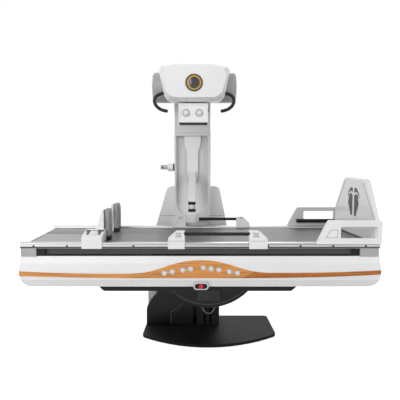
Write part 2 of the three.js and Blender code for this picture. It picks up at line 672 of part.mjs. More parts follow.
function collimator() {
  const { x, y, z } = COLLIMATOR;
  const box = block(x, y, z);
  const panel = block([x[0] + 10, x[1] - 10], [y[0] - 1, y[0] + 5], [z[0] + 12, z[1] - 12]);
  const neck = block([HEAD_X - 50, HEAD_X + 50], [-540, -485], [z[1] - 1, TUBE.z - TUBE.r - GAP]);
  return join(cut(box, panel), neck);
}

const knob = (x) => roundY(x, KNOB.z, KNOB.r, [COLLIMATOR.y[0] - 12, COLLIMATOR.y[0] + 4.5], 20);

// Compressor: an arm hinged in the column's recess, ending in a round pressure cone over the table.
function compressorArm() {
  const reach = [CONE.x - 24, CONE.x + 24];
  const side = outline([
    [SWING.y + 2, SWING.z + 12], [CONE.y - 26, 1034, 14], [CONE.y - 26, 1002],
    [CONE.y + 26, 1002], [CONE.y + 34, 1030], [SWING.y + 6, SWING.z - 14],
  ]);
  return join(alongX(side, reach), roundX(SWING.y, SWING.z, SWING.r, reach, 20));
}

function pressureCone() {
  const profile = [[0, 858], [41, 858], [46, 864], [54, 925], [26, 932], [26, 1002 - GAP], [0, 1002 - GAP]];
  return turned(profile).translate(CONE.x, CONE.y, 0);
}

function lever() {
  const hub = roundX(LEVER_Y, LEVER_Z, 30, [-298, COLUMN_X[0] - GAP], 20);
  const stub = roundX(LEVER_Y, LEVER_Z, 16.5, [-349, -297], 16);
  return join(hub, stub);
}

const stand = assembly(
  part('floor_plate', floorPlate(), 'black'),
  part('lift_mast', liftMast(), 'black'),
  part('lift_ram_barrel', ramBarrel(), 'steel'),
  part('stand_cover', standCover(), 'black'),
  part('stand_rear_shell', standRearShell(), 'grey'),
);

const carriage = assembly(
  part('lift_carriage', liftCarriage(), 'black'),
  part('lift_ram_rod', ramRod(), 'steel'),
  part('tilt_motor', roundY(0, MOTOR.z, MOTOR.r, MOTOR.y), 'black'),
);

const tiltHub = assembly(
  part('tilt_sector', tiltSector(), 'black'),
  part('hub_bracket', hubBracket(), 'black'),
  part('cable_hoop', cableHoop(), 'black'),
  part('shift_beam', shiftBeam(), 'black'),
);

const table = assembly(
  part('body_front', bodyFront(), 'white'),
  part('wood_band', woodBand(), 'wood'),
  part('body_rear', bodyRear(), 'white'),
  part('body_end_left', bodyEnd(-1), 'white'),
  part('body_end_right', bodyEnd(1), 'white'),
  part('body_floor', bodyFloor(), 'white'),
  part('column_track', block(TRACK.x, TRACK.y, TRACK.z), 'aluminium'),
  part('e_stop_bezel', stopBezel(), 'black'),
  part('e_stop_button', stopButton(), 'red'),
  ...BUTTON_XZ.map((place, index) => part(`button_${index + 1}`, button(index), 'aluminium')),
);

const top = assembly(
  part('tabletop', tabletop(), 'top'),
  part('rail_front', sideRail(-1), 'aluminium'),
  part('rail_rear', sideRail(1), 'aluminium'),
  part('end_block_left', crossBeam(CROSS_BEAMS.left), 'grey'),
  part('end_block_right', crossBeam(CROSS_BEAMS.right), 'grey'),
);

const accessories = assembly(
  part('shoulder_clamp_front', shoulderClamp(-1), 'white'),
  part('shoulder_pad_front', shoulderPad(-1), 'pad'),
  part('shoulder_clamp_rear', shoulderClamp(1), 'white'),
  part('shoulder_pad_rear', shoulderPad(1), 'pad'),
  part('grip_front', grip(-1, GRIP_FRONT), 'white'),
  part('grip_rear', grip(1, GRIP_REAR), 'white'),
  part('footboard', footboard(), 'grey'),
  part('foot_panel_front', footPanel(-1, FOOT_PANEL.front), 'white'),
  part('foot_panel_rear', footPanel(1, FOOT_PANEL.rear), 'grey'),
);

const head = assembly(
  part('tube_housing', tubeHousing(), 'grey'),
  part('head_cover', headCover(), 'white'),
  part('head_display', display(), 'black'),
  part('handle_left', handle(-1), 'black'),
  part('handle_right', handle(1), 'black'),
  part('collimator', collimator(), 'white'),
  part('knob_left', knob(KNOB.x[0]), 'white'),
  part('knob_right', knob(KNOB.x[1]), 'white'),
);

const column = assembly(
  part('column_carriage', columnCarriage(), 'black'),
  part('detector', detector(), 'black'),
  part('base_cover', baseCover(), 'grey'),
  part('column_post', columnPost(), 'grey'),
  part('tube_arm', tubeArm(), 'grey'),
  part('compressor_arm', compressorArm(), 'white'),
  part('pressure_cone', pressureCone(), 'white'),
  part('lever', lever(), 'white'),
  head,
);

// The scene graph follows the way the parts carry each other.
top.add(accessories);
table.add(top, column);
tiltHub.add(table);
carriage.add(tiltHub);
carriage.position.z = REST_LIFT;
stand.add(carriage);

export default stand;
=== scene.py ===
"""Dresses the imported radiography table: tilting table, tube head, rail accessories and floor stand."""
import json
import math

import bmesh
import bpy
from mathutils import Matrix, Vector


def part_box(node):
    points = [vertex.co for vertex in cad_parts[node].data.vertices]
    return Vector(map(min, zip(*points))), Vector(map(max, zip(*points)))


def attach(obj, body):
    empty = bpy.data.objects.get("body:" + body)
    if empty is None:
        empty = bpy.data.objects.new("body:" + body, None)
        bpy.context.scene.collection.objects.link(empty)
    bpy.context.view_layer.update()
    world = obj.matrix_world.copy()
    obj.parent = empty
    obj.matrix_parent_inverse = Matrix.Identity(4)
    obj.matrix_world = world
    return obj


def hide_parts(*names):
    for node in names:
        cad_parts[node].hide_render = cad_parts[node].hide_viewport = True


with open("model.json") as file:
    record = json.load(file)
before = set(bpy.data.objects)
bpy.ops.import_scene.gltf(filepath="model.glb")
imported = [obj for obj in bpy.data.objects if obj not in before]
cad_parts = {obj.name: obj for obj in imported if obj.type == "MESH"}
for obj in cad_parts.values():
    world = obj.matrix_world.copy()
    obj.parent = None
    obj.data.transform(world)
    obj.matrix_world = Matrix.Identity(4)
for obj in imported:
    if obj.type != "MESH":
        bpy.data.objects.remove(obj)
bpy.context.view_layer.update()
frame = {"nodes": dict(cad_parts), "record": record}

bl_info = {
    "name": "Radiography table",
    "version": (1, 0, 0),
    "blender": (4, 5, 0),
    "location": "View3D > Sidebar > Radiography",
    "description": "Builds the looks of a tilting radiography table around its CAD frame",
    "category": "Object",
}

# At rest the lift holds everything above the stand this much higher.
RAISE = 0.038
TABLE_MID = -0.570
RAIL_TOP = 0.838
NODE_BODY = {
    node: body
    for body, nodes in frame["record"]["behaviour"]["bodies"].items()
    for node in nodes
}
NODE_SLOT = {entry["node"]: entry["material_slot"] for entry in frame["record"]["subparts"]}
SMOOTH_ANGLE = math.radians(32)
BEVEL_ANGLE = math.radians(30)
FINE_SIDES = 96
INLAY_SINK = 0.0004
RING_DEPTH = 0.002


# Sizes and colours that a user would change

class TableSizes(bpy.types.PropertyGroup):
    """Sizes of the dressing."""
    edge: bpy.props.FloatProperty(
        name="Edge radius", description="Rounding of moulded edges", default=0.004, unit="LENGTH")
    metal_edge: bpy.props.FloatProperty(
        name="Metal edge", description="Rounding of machined edges", default=0.0015, unit="LENGTH")
    screw: bpy.props.FloatProperty(
        name="Screw head", description="Radius of the rail screws", default=0.0065, unit="LENGTH")
    lens: bpy.props.FloatProperty(
        name="Lens", description="Focal length of the camera", default=48.59, subtype="DISTANCE_CAMERA")


def colour_prop(name, description, value):
    return bpy.props.FloatVectorProperty(
        name=name, description=description, default=value, subtype="COLOR", size=3, min=0, max=1)


class TableColours(bpy.types.PropertyGroup):
    """Base colours, linear."""
    white: colour_prop("White mouldings", "Body, head and accessory plastic", (0.80, 0.80, 0.81))
    grey: colour_prop("Grey mouldings", "Column, arm and covers", (0.47, 0.47, 0.475))
    black: colour_prop("Black lacquer", "Floor plate and stand", (0.006, 0.006, 0.007))
    top: colour_prop("Tabletop", "Satin laminate of the top", (0.100, 0.101, 0.105))
    wood_light: colour_prop("Light wood", "Left part of the control band", (0.66, 0.275, 0.070))
    wood_dark: colour_prop("Dark wood", "Right part of the control band", (0.46, 0.145, 0.016))
    pad: colour_prop("Pad vinyl", "Shoulder pads", (0.27, 0.27, 0.275))
    red: colour_prop("Stop button", "Emergency stop", (0.60, 0.008, 0.010))
    amber: colour_prop("Amber ring", "Ring in the head's display", (0.54, 0.28, 0.012))


def sizes():
    return bpy.context.scene.radiography_sizes


def colours():
    return bpy.context.scene.radiography_colours


# Materials

class Nodes:
    """A short way to build a node tree."""

    def __init__(self, name):
        self.material = bpy.data.materials.new(name)
        self.material.use_nodes = True
        self.tree = self.material.node_tree
        self.shader = self.tree.nodes["Principled BSDF"]

    def add(self, kind, **settings):
        node = self.tree.nodes.new(kind)
        for key, value in settings.items():
            setattr(node, key, value)
        return node

    def link(self, source, target):
        self.tree.links.new(source, target)

    def coordinates(self, scale=(1, 1, 1)):
        place = self.add("ShaderNodeTexCoord")
        mapping = self.add("ShaderNodeMapping")
        mapping.inputs["Scale"].default_value = scale
        self.link(place.outputs["Object"], mapping.inputs["Vector"])
        return mapping.outputs["Vector"]

    def noise(self, vector, scale, detail=4.0, roughness=0.5):
        node = self.add("ShaderNodeTexNoise")
        node.inputs["Scale"].default_value = scale
        node.inputs["Detail"].default_value = detail
        node.inputs["Roughness"].default_value = roughness
        self.link(vector, node.inputs["Vector"])
        return node.outputs["Fac"]

    def ramp(self, factor, *stops):
        node = self.add("ShaderNodeValToRGB")
        elements = node.color_ramp.elements
        while len(elements) < len(stops):
            elements.new(0.5)
        for element, (position, colour) in zip(elements, stops):
            element.position = position
            element.color = (*colour, 1)
        self.link(factor, node.inputs["Fac"])
        return node.outputs["Color"]

    def span(self, factor, low, high):
        node = self.add("ShaderNodeMapRange")
        node.inputs["To Min"].default_value = low
        node.inputs["To Max"].default_value = high
        self.link(factor, node.inputs["Value"])
        return node.outputs["Result"]

    def tone(self, factor, *stops):
        """Colours the surface by a ramp."""
        self.link(self.ramp(factor, *stops), self.shader.inputs["Base Color"])

    def gloss(self, factor, low, high):
        """Spreads the roughness between two values."""
        self.link(self.span(factor, low, high), self.shader.inputs["Roughness"])

    def bump(self, height, strength, distance):
        node = self.add("ShaderNodeBump")
        node.inputs["Strength"].default_value = strength
        node.inputs["Distance"].default_value = distance
        self.link(height, node.inputs["Height"])
        self.link(node.outputs["Normal"], self.shader.inputs["Normal"])

    def set(self, **values):
        for key, value in values.items():
            self.shader.inputs[key.replace("_", " ")].default_value = value


def shade(colour, factor):
    return tuple(min(1.0, channel * factor) for channel in colour)


MATERIALS = {}


def finish(name):
    """The named finish, made on first use."""
    if name not in MATERIALS:
        MATERIALS[name] = FINISHES[name]()
    return MATERIALS[name]


def moulded(name, colour, roughness, coat):
    """Moulded plastic: a fine texture, slow changes of tone and uneven gloss."""
    build = Nodes(name)
    where = build.coordinates()
    slow = build.noise(where, 3.0, 3.0)
    build.tone(slow, (0.3, shade(colour, 0.965)), (0.7, shade(colour, 1.03)))
    build.gloss(build.noise(where, 14.0, 5.0), roughness - 0.05, roughness + 0.06)
    build.bump(build.noise(where, 420.0, 2.0), 0.04, 0.0006)
    build.set(Coat_Weight=coat, Coat_Roughness=0.08, IOR=1.47)
    return build.material


def lacquer(name, colour, roughness, coat, gloss=0.22):
    """Black paint: deep and slightly uneven, with a clear coat where one is asked for."""
    build = Nodes(name)
    where = build.coordinates()
    cloud = build.noise(where, 9.0, 6.0, 0.6)
    build.tone(cloud, (0.3, shade(colour, 0.8)), (0.75, shade(colour, 1.6)))
    build.gloss(build.noise(where, 60.0, 3.0), roughness - 0.04, roughness + 0.07)
    build.bump(build.noise(where, 700.0, 2.0), 0.03, 0.0004)
    build.set(Coat_Weight=coat, Coat_Roughness=0.12, Specular_IOR_Level=gloss)
    return build.material


def brushed(name, colour, roughness, stretch):
    """Metal with its brushing along the long side."""
    build = Nodes(name)
    lines = build.noise(build.coordinates(stretch), 260.0, 5.0, 0.65)
    build.tone(lines, (0.3, shade(colour, 0.86)), (0.7, shade(colour, 1.06)))
    build.gloss(lines, roughness - 0.07, roughness + 0.10)
    build.bump(lines, 0.05, 0.0004)
    build.set(Metallic=1.0)
    return build.material


JOIN_X = 0.240
JOIN_Z = 0.632 + RAISE
JOIN_SLOPE = 2.05


def wood_band():
    """Lacquered wood grain along the table, lighter at the left and darker right of the button panel."""
    build = Nodes("wood_band")
    light, dark = tuple(colours().wood_light), tuple(colours().wood_dark)
    where = build.coordinates()
    split = build.add("ShaderNodeSeparateXYZ")
    build.link(where, split.inputs["Vector"])
    grain_at = build.coordinates((1.6, 6.0, 46.0))
    rings = build.noise(grain_at, 3.2, 8.0, 0.62)
    pores = build.noise(build.coordinates((9.0, 30.0, 420.0)), 4.0, 4.0, 0.6)
    left = build.ramp(rings, (0.34, shade(light, 0.60)), (0.5, light), (0.66, shade(light, 1.16)))
    right = build.ramp(rings, (0.34, shade(dark, 0.62)), (0.5, dark), (0.68, shade(dark, 1.32)))
    slope = build.add("ShaderNodeMath", operation="MULTIPLY_ADD")
    slope.inputs[1].default_value = -JOIN_SLOPE
    slope.inputs[2].default_value = JOIN_SLOPE * JOIN_Z - JOIN_X
    build.link(split.outputs["Z"], slope.inputs[0])
    side = build.add("ShaderNodeMath", operation="ADD")
    build.link(split.outputs["X"], side.inputs[0])
    build.link(slope.outputs["Value"], side.inputs[1])
    step = build.add("ShaderNodeMapRange")
    step.inputs["From Min"].default_value = -0.002
    step.inputs["From Max"].default_value = 0.002
    build.link(side.outputs["Value"], step.inputs["Value"])
    mix = build.add("ShaderNodeMix", data_type="RGBA")
    build.link(step.outputs["Result"], mix.inputs["Factor"])
    build.link(left, mix.inputs["A"])
    build.link(right, mix.inputs["B"])
    build.link(mix.outputs["Result"], build.shader.inputs["Base Color"])
    build.gloss(rings, 0.26, 0.40)
    build.bump(pores, 0.05, 0.0004)
    build.set(Coat_Weight=0.10, Coat_Roughness=0.18, Specular_IOR_Level=0.30)
    return build.material


def laminate():
    """Dark satin tabletop: a fine speckle with faint streaks along the table."""
    build = Nodes("tabletop_laminate")
    colour = tuple(colours().top)
    where = build.coordinates()
    speck = build.noise(where, 900.0, 2.0, 0.7)
    streak = build.noise(build.coordinates((0.6, 14.0, 14.0)), 3.0, 4.0)
    both = build.add("ShaderNodeMath", operation="MULTIPLY_ADD")
    both.inputs[1].default_value = 0.5
    build.link(speck, both.inputs[0])
    half = build.span(streak, 0.0, 0.5)
    build.link(half, both.inputs[2])
    build.tone(both.outputs["Value"], (0.3, shade(colour, 0.78)), (0.7, shade(colour, 1.25)))
    build.gloss(streak, 0.36, 0.50)
    build.bump(speck, 0.05, 0.0003)
    build.set(Specular_IOR_Level=0.55)
    return build.material


def vinyl():
    """Stretched vinyl: leather-like cells over slow creases."""
    build = Nodes("pad_vinyl")
    colour = tuple(colours().pad)
    where = build.coordinates()
    cells = build.add("ShaderNodeTexVoronoi", feature="DISTANCE_TO_EDGE")
    cells.inputs["Scale"].default_value = 520.0
    build.link(where, cells.inputs["Vector"])
    slow = build.noise(where, 18.0, 5.0)
    build.tone(slow, (0.3, shade(colour, 0.84)), (0.7, shade(colour, 1.14)))
    build.gloss(slow, 0.46, 0.62)
    build.bump(cells.outputs["Distance"], 0.22, 0.0008)
    build.set(Sheen_Weight=0.15)
    return build.material


def grip_rubber():
    """Black handle grip with a fine stipple."""
    build = Nodes("grip_rubber")
    where = build.coordinates()
    stipple = build.noise(where, 1400.0, 2.0)
    cloud = build.noise(where, 30.0, 4.0)
    build.tone(cloud, (0.3, (0.006, 0.006, 0.007)), (0.7, (0.016, 0.016, 0.017)))
    build.gloss(cloud, 0.30, 0.44)
    build.bump(stipple, 0.08, 0.0004)
    build.set(Specular_IOR_Level=0.25)
    return build.material


def display_glass():
    """Black glass of the round display."""
    build = Nodes("display_glass")
    where = build.coordinates()
    smear = build.noise(where, 26.0, 5.0)
    build.tone(smear, (0.3, (0.010, 0.010, 0.011)), (0.7, (0.022, 0.022, 0.024)))
    build.gloss(smear, 0.10, 0.20)
    build.set(Coat_Weight=0.6, Coat_Roughness=0.04)
    return build.material


FLOOR_LIFT = 0.80


def direct_rays(tree):
    """1 for rays that the eye, a mirror or a glass sends."""
    path = tree.nodes.new("ShaderNodeLightPath")
    first = tree.nodes.new("ShaderNodeMath")
    first.operation = "MAXIMUM"
    second = tree.nodes.new("ShaderNodeMath")
    second.operation = "MAXIMUM"
    tree.links.new(path.outputs["Is Camera Ray"], first.inputs[0])
    tree.links.new(path.outputs["Is Glossy Ray"], first.inputs[1])
    tree.links.new(first.outputs["Value"], second.inputs[0])
    tree.links.new(path.outputs["Is Transmission Ray"], second.inputs[1])
    return second.outputs["Value"]


def studio_floor():
    """A pale floor that shows white to the eye and still takes the shadow."""
    build = Nodes("studio_floor")
    cloud = build.noise(build.coordinates(), 2.0, 2.0)
    build.tone(cloud, (0.3, (0.60, 0.60, 0.60)), (0.7, (0.62, 0.62, 0.62)))
    build.set(Roughness=0.9, Specular_IOR_Level=0.0)
    glow = build.add("ShaderNodeEmission")
    glow.inputs["Strength"].default_value = FLOOR_LIFT
    both = build.add("ShaderNodeAddShader")
    build.link(build.shader.outputs["BSDF"], both.inputs[0])
    build.link(glow.outputs["Emission"], both.inputs[1])
    mix = build.add("ShaderNodeMixShader")
    build.link(direct_rays(build.tree), mix.inputs["Fac"])
    build.link(build.shader.outputs["BSDF"], mix.inputs[1])
    build.link(both.outputs["Shader"], mix.inputs[2])
    build.link(mix.outputs["Shader"], build.tree.nodes["Material Output"].inputs["Surface"])
    return build.material


FINISHES = {
    "white": lambda: moulded("white_moulding", tuple(colours().white), 0.34, 0.25),
    "warm_white": lambda: moulded("head_moulding", shade(tuple(colours().white), 1.02), 0.30, 0.30),
    "grey": lambda: moulded("grey_moulding", tuple(colours().grey), 0.42, 0.10),
    "pale_grey": lambda: moulded("pale_grey_moulding", shade(tuple(colours().grey), 1.20), 0.40, 0.12),
    "column": lambda: moulded("column_paint", shade(tuple(colours().grey), 1.42), 0.38, 0.10),
    "recess": lambda: moulded("recess_paint", shade(tuple(colours().grey), 1.60), 0.40, 0.08),
    "mid_grey": lambda: moulded("mid_grey_moulding", shade(tuple(colours().grey), 0.82), 0.42, 0.10),
    # The cable hoop's own grey paint, also used for the highlight lines painted on the stand cover's crease
    # and on the sector's rim.
    "hoop_and_glint_grey": lambda: moulded("hoop_paint_and_glint", (0.16, 0.16, 0.165), 0.40, 0.10),
    "deep_grey": lambda: moulded("deep_grey_moulding", shade(tuple(colours().grey), 0.62), 0.40, 0.12),
    # Dark print for marks, also used as painted shade on the tabletop's sides and under the rails.
    "ink_and_shade_grey": lambda: moulded("ink_with_painted_shade", (0.055, 0.055, 0.058), 0.5, 0.0),
    # Soft grey print for rings, scales, signs, joint lines and rims, also used as painted shade along the
    # footboard's creases.
    "soft_ink_and_shade": lambda: moulded("soft_print_with_painted_shade", (0.30, 0.30, 0.31), 0.5, 0.0),
    "black_gloss": lambda: lacquer("black_gloss", tuple(colours().black), 0.34, 0.06),
    "black_satin": lambda: lacquer("black_satin", shade(tuple(colours().black), 1.5), 0.46, 0.0),
    "black_dull": lambda: lacquer("black_dull", shade(tuple(colours().black), 2.0), 0.55, 0.0),
    "plate_black": lambda: lacquer("plate_black", shade(tuple(colours().black), 1.3), 0.50, 0.0, 0.09),
    "black_soft": lambda: lacquer("black_soft", shade(tuple(colours().black), 9.0), 0.5, 0.0),
    "aluminium": lambda: brushed("rail_aluminium", (0.485, 0.488, 0.492), 0.36, (0.02, 1, 1)),
    "silver": lambda: brushed("button_silver", (0.56, 0.57, 0.58), 0.36, (1, 1, 0.05)),
    "steel": lambda: brushed("ground_steel", (0.10, 0.10, 0.11), 0.34, (1, 1, 0.03)),
    # Bright steel painted round the cone's black neck as its highlight.
    "neck_glint_steel": lambda: brushed("neck_glint_steel", (0.50, 0.51, 0.52), 0.30, (1, 1, 0.05)),
    "wood": wood_band,
    "laminate": laminate,
    "vinyl": vinyl,
    "rubber": grip_rubber,
    "glass": display_glass,
    "red": lambda: moulded("stop_red", tuple(colours().red), 0.42, 0.08),
    "amber": lambda: moulded("display_amber", tuple(colours().amber), 0.35, 0.3),
    "floor": studio_floor,
}


# Meshes

def rounded(*corners, steps=8):
    """A closed outline from (u, v, radius) corners, each turned on its radius."""
    points = []
    count = len(corners)
    for index, (u, v, radius) in enumerate(corners):
        here = Vector((u, v))
        before = Vector(corners[index - 1][:2]) - here
        after = Vector(corners[(index + 1) % count][:2]) - here
        half = before.angle(after) / 2
        if radius <= 0 or half > math.radians(89.5):
            points.append(here)
            continue
        reach = radius / math.tan(half)
        centre = here + (before.normalized() + after.normalized()).normalized() * radius / math.sin(half)
        start = here + before.normalized() * reach - centre
        turn = start.angle_signed(here + after.normalized() * reach - centre)
        for step in range(steps + 1):
            spoke = start.copy()
            spoke.rotate(Matrix.Rotation(-turn * step / steps, 2))
            points.append(centre + spoke)
    return points


def boxed(low_u, low_v, high_u, high_v, radius):
    """A rounded rectangle."""
    return rounded((low_u, low_v, radius), (high_u, low_v, radius), (high_u, high_v, radius),
                   (low_u, high_v, radius))


def spot(axis, u, v, along):
    """The point (u, v) of a face at that height along the axis."""
    return {"X": (along, u, v), "Y": (u, along, v), "Z": (u, v, along)}[axis]


def piece_from(form, name, surface):
    """An object at the origin from a finished bmesh."""
    bmesh.ops.remove_doubles(form, verts=form.verts, dist=1e-6)
    bmesh.ops.recalc_face_normals(form, faces=form.faces)
    mesh = bpy.data.meshes.new(name)
    form.to_mesh(mesh)
    form.free()
    piece = bpy.data.objects.new(name, mesh)
    bpy.context.scene.collection.objects.link(piece)
    mesh.materials.append(finish(surface))
    return piece


def baked(piece):
    """Applies the piece's modifiers to its mesh."""
    view = bpy.context.evaluated_depsgraph_get()
    mesh = bpy.data.meshes.new_from_object(piece.evaluated_get(view))
    piece.modifiers.clear()
    piece.data = mesh
    return piece


def smoothed(piece, angle=SMOOTH_ANGLE):
    """Shades the piece smooth with its sharp edges kept."""
    piece.data.shade_smooth()
    piece.data.set_sharp_from_angle(angle=angle)
    return piece


def eased(piece, edge, segments=3):
    """Rounds the sharp edges."""
    bevel = piece.modifiers.new("edges", "BEVEL")
    bevel.width = edge
    bevel.segments = segments
    bevel.limit_method = "ANGLE"
    bevel.angle_limit = BEVEL_ANGLE
    bevel.use_clamp_overlap = True
    bevel.harden_normals = True
    return baked(smoothed(piece))


def skinned(name, rings, surface):
    """A closed skin over rings of equal counts, each a list of points."""
    form = bmesh.new()
    rows = [[form.verts.new(point) for point in ring] for ring in rings]
    form.faces.new(rows[0])
    form.faces.new(rows[-1])
    for lower, upper in zip(rows, rows[1:]):
        for index in range(len(lower)):
            form.faces.new((lower[index - 1], lower[index], upper[index], upper[index - 1]))
    return piece_from(form, name, surface)


def slab(name, outline, axis, low, high, surface, edge=0.0, segments=3):
    """An outline pulled along an axis, with rounded edges."""
    piece = skinned(name, [[spot(axis, u, v, along) for u, v in outline] for along in (low, high)], surface)
    return eased(piece, edge, segments) if edge else smoothed(piece)


def turned(name, profile, axis, centre, surface, sides=FINE_SIDES):
    """A profile of (radius, height) points turned about an axis through centre."""
    form = bmesh.new()
    rings = []
    for radius, along in profile:
        if radius <= 0:
            rings.append([form.verts.new(spot(axis, *centre, along))])
            continue
        ring = []
        for index in range(sides):
            angle = math.tau * index / sides
            u = centre[0] + radius * math.cos(angle)
            v = centre[1] + radius * math.sin(angle)
            ring.append(form.verts.new(spot(axis, u, v, along)))
        rings.append(ring)
    for lower, upper in zip(rings, rings[1:]):
        for index in range(sides):
            corners = [lower[index - 1 if len(lower) > 1 else 0], lower[index if len(lower) > 1 else 0],
                       upper[index if len(upper) > 1 else 0], upper[index - 1 if len(upper) > 1 else 0]]
            form.faces.new(list(dict.fromkeys(corners)))
    for ring in (rings[0], rings[-1]):
        if len(ring) > 1 and profile[0] != profile[-1]:
            form.faces.new(ring)
    return smoothed(piece_from(form, name, surface))


def inlay(name, outline, place, surface, proud=0.0007):
    """A thin inlaid shape: place(u, v, height) puts its outline on the surface that carries it."""
    rings = [[place(u, v, height) for u, v in outline] for height in (-INLAY_SINK, proud)]
    return smoothed(skinned(name, rings, surface))


def on_front(face):
    """Puts points on a flat face that looks to the front."""
    return lambda u, v, height: (u, face - height, v)


def on_back(face):
    """Puts points on a flat face that looks to the back."""
    return lambda u, v, height: (u, face + height, v)


def arc_band(centre, inner, outer, start, end, steps=24):
    """The outline of a band along an arc, angles in degrees."""
    angles = [math.radians(start + (end - start) * step / steps) for step in range(steps + 1)]
    outside = [(centre[0] + outer * math.cos(a), centre[1] + outer * math.sin(a)) for a in angles]
    inside = [(centre[0] + inner * math.cos(a), centre[1] + inner * math.sin(a)) for a in reversed(angles)]
    return outside + inside


def curve_through(points, steps=10):
    """A smooth run of points through the given ones."""
    ends = [points[0] * 2 - points[1], *points, points[-1] * 2 - points[-2]]
    run = []
    for p0, p1, p2, p3 in zip(ends, ends[1:], ends[2:], ends[3:]):
        for step in range(steps):
            t = step / steps
            run.append(0.5 * (2 * p1 + (p2 - p0) * t + (2 * p0 - 5 * p1 + 4 * p2 - p3) * t * t
                              + (3 * p1 - p0 - 3 * p2 + p3) * t ** 3))
    return [*run, points[-1].copy()]


def tube(name, path, radius, surface, sides=28, closed=False):
    """A round bar along a path, with domed ends where it is open."""
    points = [Vector(point) for point in path]
    if not closed:
        lead = (points[0] - points[1]).normalized()
        tail = (points[-1] - points[-2]).normalized()
        dome = [(math.cos(a), math.sin(a)) for a in (0.4, 0.8, 1.2, 1.5)]
        radii = [c for c, s in reversed(dome)] + [1.0] * len(points) + [c for c, s in dome]
        start = [points[0] + lead * radius * 0.6 * s for c, s in reversed(dome)]
        end = [points[-1] + tail * radius * 0.6 * s for c, s in dome]
        points = start + points + end
    else:
        radii = [1.0] * len(points)
    form = bmesh.new()
    side = None
    rings = []
    count = len(points)
    for index, point in enumerate(points):
        behind = points[index - 1] if closed or index else point
        ahead = points[(index + 1) % count] if closed or index + 1 < count else point
        run = (ahead - behind).normalized()
        if side is None:
            side = run.orthogonal().normalized()
        side = (side - run * side.dot(run)).normalized()
        other = run.cross(side)
        ring = []
        for step in range(sides):
            angle = math.tau * step / sides
            spoke = side * math.cos(angle) + other * math.sin(angle)
            ring.append(form.verts.new(point + spoke * radius * radii[index]))
        rings.append(ring)
    pairs = list(zip(rings, rings[1:]))
    if closed:
        pairs.append((rings[-1], rings[0]))
    for lower, upper in pairs:
        for step in range(sides):
            form.faces.new((lower[step - 1], lower[step], upper[step], upper[step - 1]))
    if not closed:
        form.faces.new(rings[0])
        form.faces.new(rings[-1])
    return smoothed(piece_from(form, name, surface), math.radians(50))


def gathered(name, *pieces):
    """Several meshes as one piece."""
    form = bmesh.new()
    surfaces = []
    for piece in pieces:
        offset = len(form.faces)
        form.from_mesh(piece.data)
        form.faces.ensure_lookup_table()
        for face in form.faces[offset:]:
            material = piece.data.materials[face.material_index]
            if material not in surfaces:
                surfaces.append(material)
            face.material_index = surfaces.index(material)
    mesh = bpy.data.meshes.new(name)
    form.to_mesh(mesh)
    form.free()
    for material in surfaces:
        mesh.materials.append(material)
    for piece in pieces:
        bpy.data.objects.remove(piece)
    whole = bpy.data.objects.new(name, mesh)
    bpy.context.scene.collection.objects.link(whole)
    return whole


def painted(piece, surface, chosen):
    """Gives another finish to the faces that the test chooses by centre and normal."""
    piece.data.materials.append(finish(surface))
    index = len(piece.data.materials) - 1
    for face in piece.data.polygons:
        if chosen(face.center, face.normal):
            face.material_index = index
    return piece


def carried(piece, body, slot, *nodes):
    """Hangs a piece on its body and hides the nodes that it stands for. The slot is not used."""
    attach(piece, body)
    if nodes:
        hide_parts(*nodes)
    return piece


def stands_for(piece, node):
    """Hangs a piece in the place of one CAD node."""
    return carried(piece, NODE_BODY[node], NODE_SLOT[node], node)


def copied(node, name, surface, flatten=True):
    """A CAD node's shape as a clean mesh, with its flat faces made whole where asked."""
    form = bmesh.new()
    form.from_mesh(frame["nodes"][node].data)
    bmesh.ops.remove_doubles(form, verts=form.verts, dist=2e-5)
    if flatten:
        bmesh.ops.dissolve_limit(form, angle_limit=math.radians(0.5), verts=form.verts, edges=form.edges)
    return piece_from(form, name, surface)


def dressed(node, surface, edge, segments=3, flatten=True):
    """A CAD node's shape with rounded edges and a finish, in the node's place."""
    return stands_for(eased(copied(node, node + "_dressed", surface, flatten), edge, segments), node)


def box_of(node):
    """A node's lowest and highest corners."""
    low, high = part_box(node)
    return Vector(low), Vector(high)


def disc_of(node):
    """Centre, radius, front and back of a round node that faces the front."""
    low, high = box_of(node)
    return ((low.x + high.x) / 2, (low.z + high.z) / 2), (high.x - low.x) / 2, low.y, high.y


def faced(name, node, face, surface, sides=64, rim=((1, 0.0),)):
    """A turned cap in the size of a round node. Its rim and its face are given as (share of the radius,
    depth), from the back and from the front."""
    centre, radius, front, back = disc_of(node)
    profile = [(0, back)]
    profile += [(radius * share, back - depth) for share, depth in rim]
    profile += [(radius * share, front + depth) for share, depth in face]
    return turned(name, profile, "Y", centre, surface, sides)


def ringed(piece, node, shares, surface):
    """Paints a ring on the face of a turned cap."""
    centre, radius, front, _ = disc_of(node)
    inner, outer = (radius * share for share in shares)
    return painted(piece, surface, lambda at, normal: at.y < front + RING_DEPTH
                   and inner < math.hypot(at.x - centre[0], at.z - centre[1]) < outer)


# Repeated parts

def new_tree(name, **inputs):
    """A Geometry Nodes tree with its named inputs, its entry and its exit."""
    tree = bpy.data.node_groups.new(name, "GeometryNodeTree")
    tree.interface.new_socket("Geometry", in_out="INPUT", socket_type="NodeSocketGeometry")
    for socket, kind in inputs.items():
        tree.interface.new_socket(socket, in_out="INPUT", socket_type="NodeSocket" + kind)
    tree.interface.new_socket("Geometry", in_out="OUTPUT", socket_type="NodeSocketGeometry")
    return tree, tree.nodes.new("NodeGroupInput"), tree.nodes.new("NodeGroupOutput")


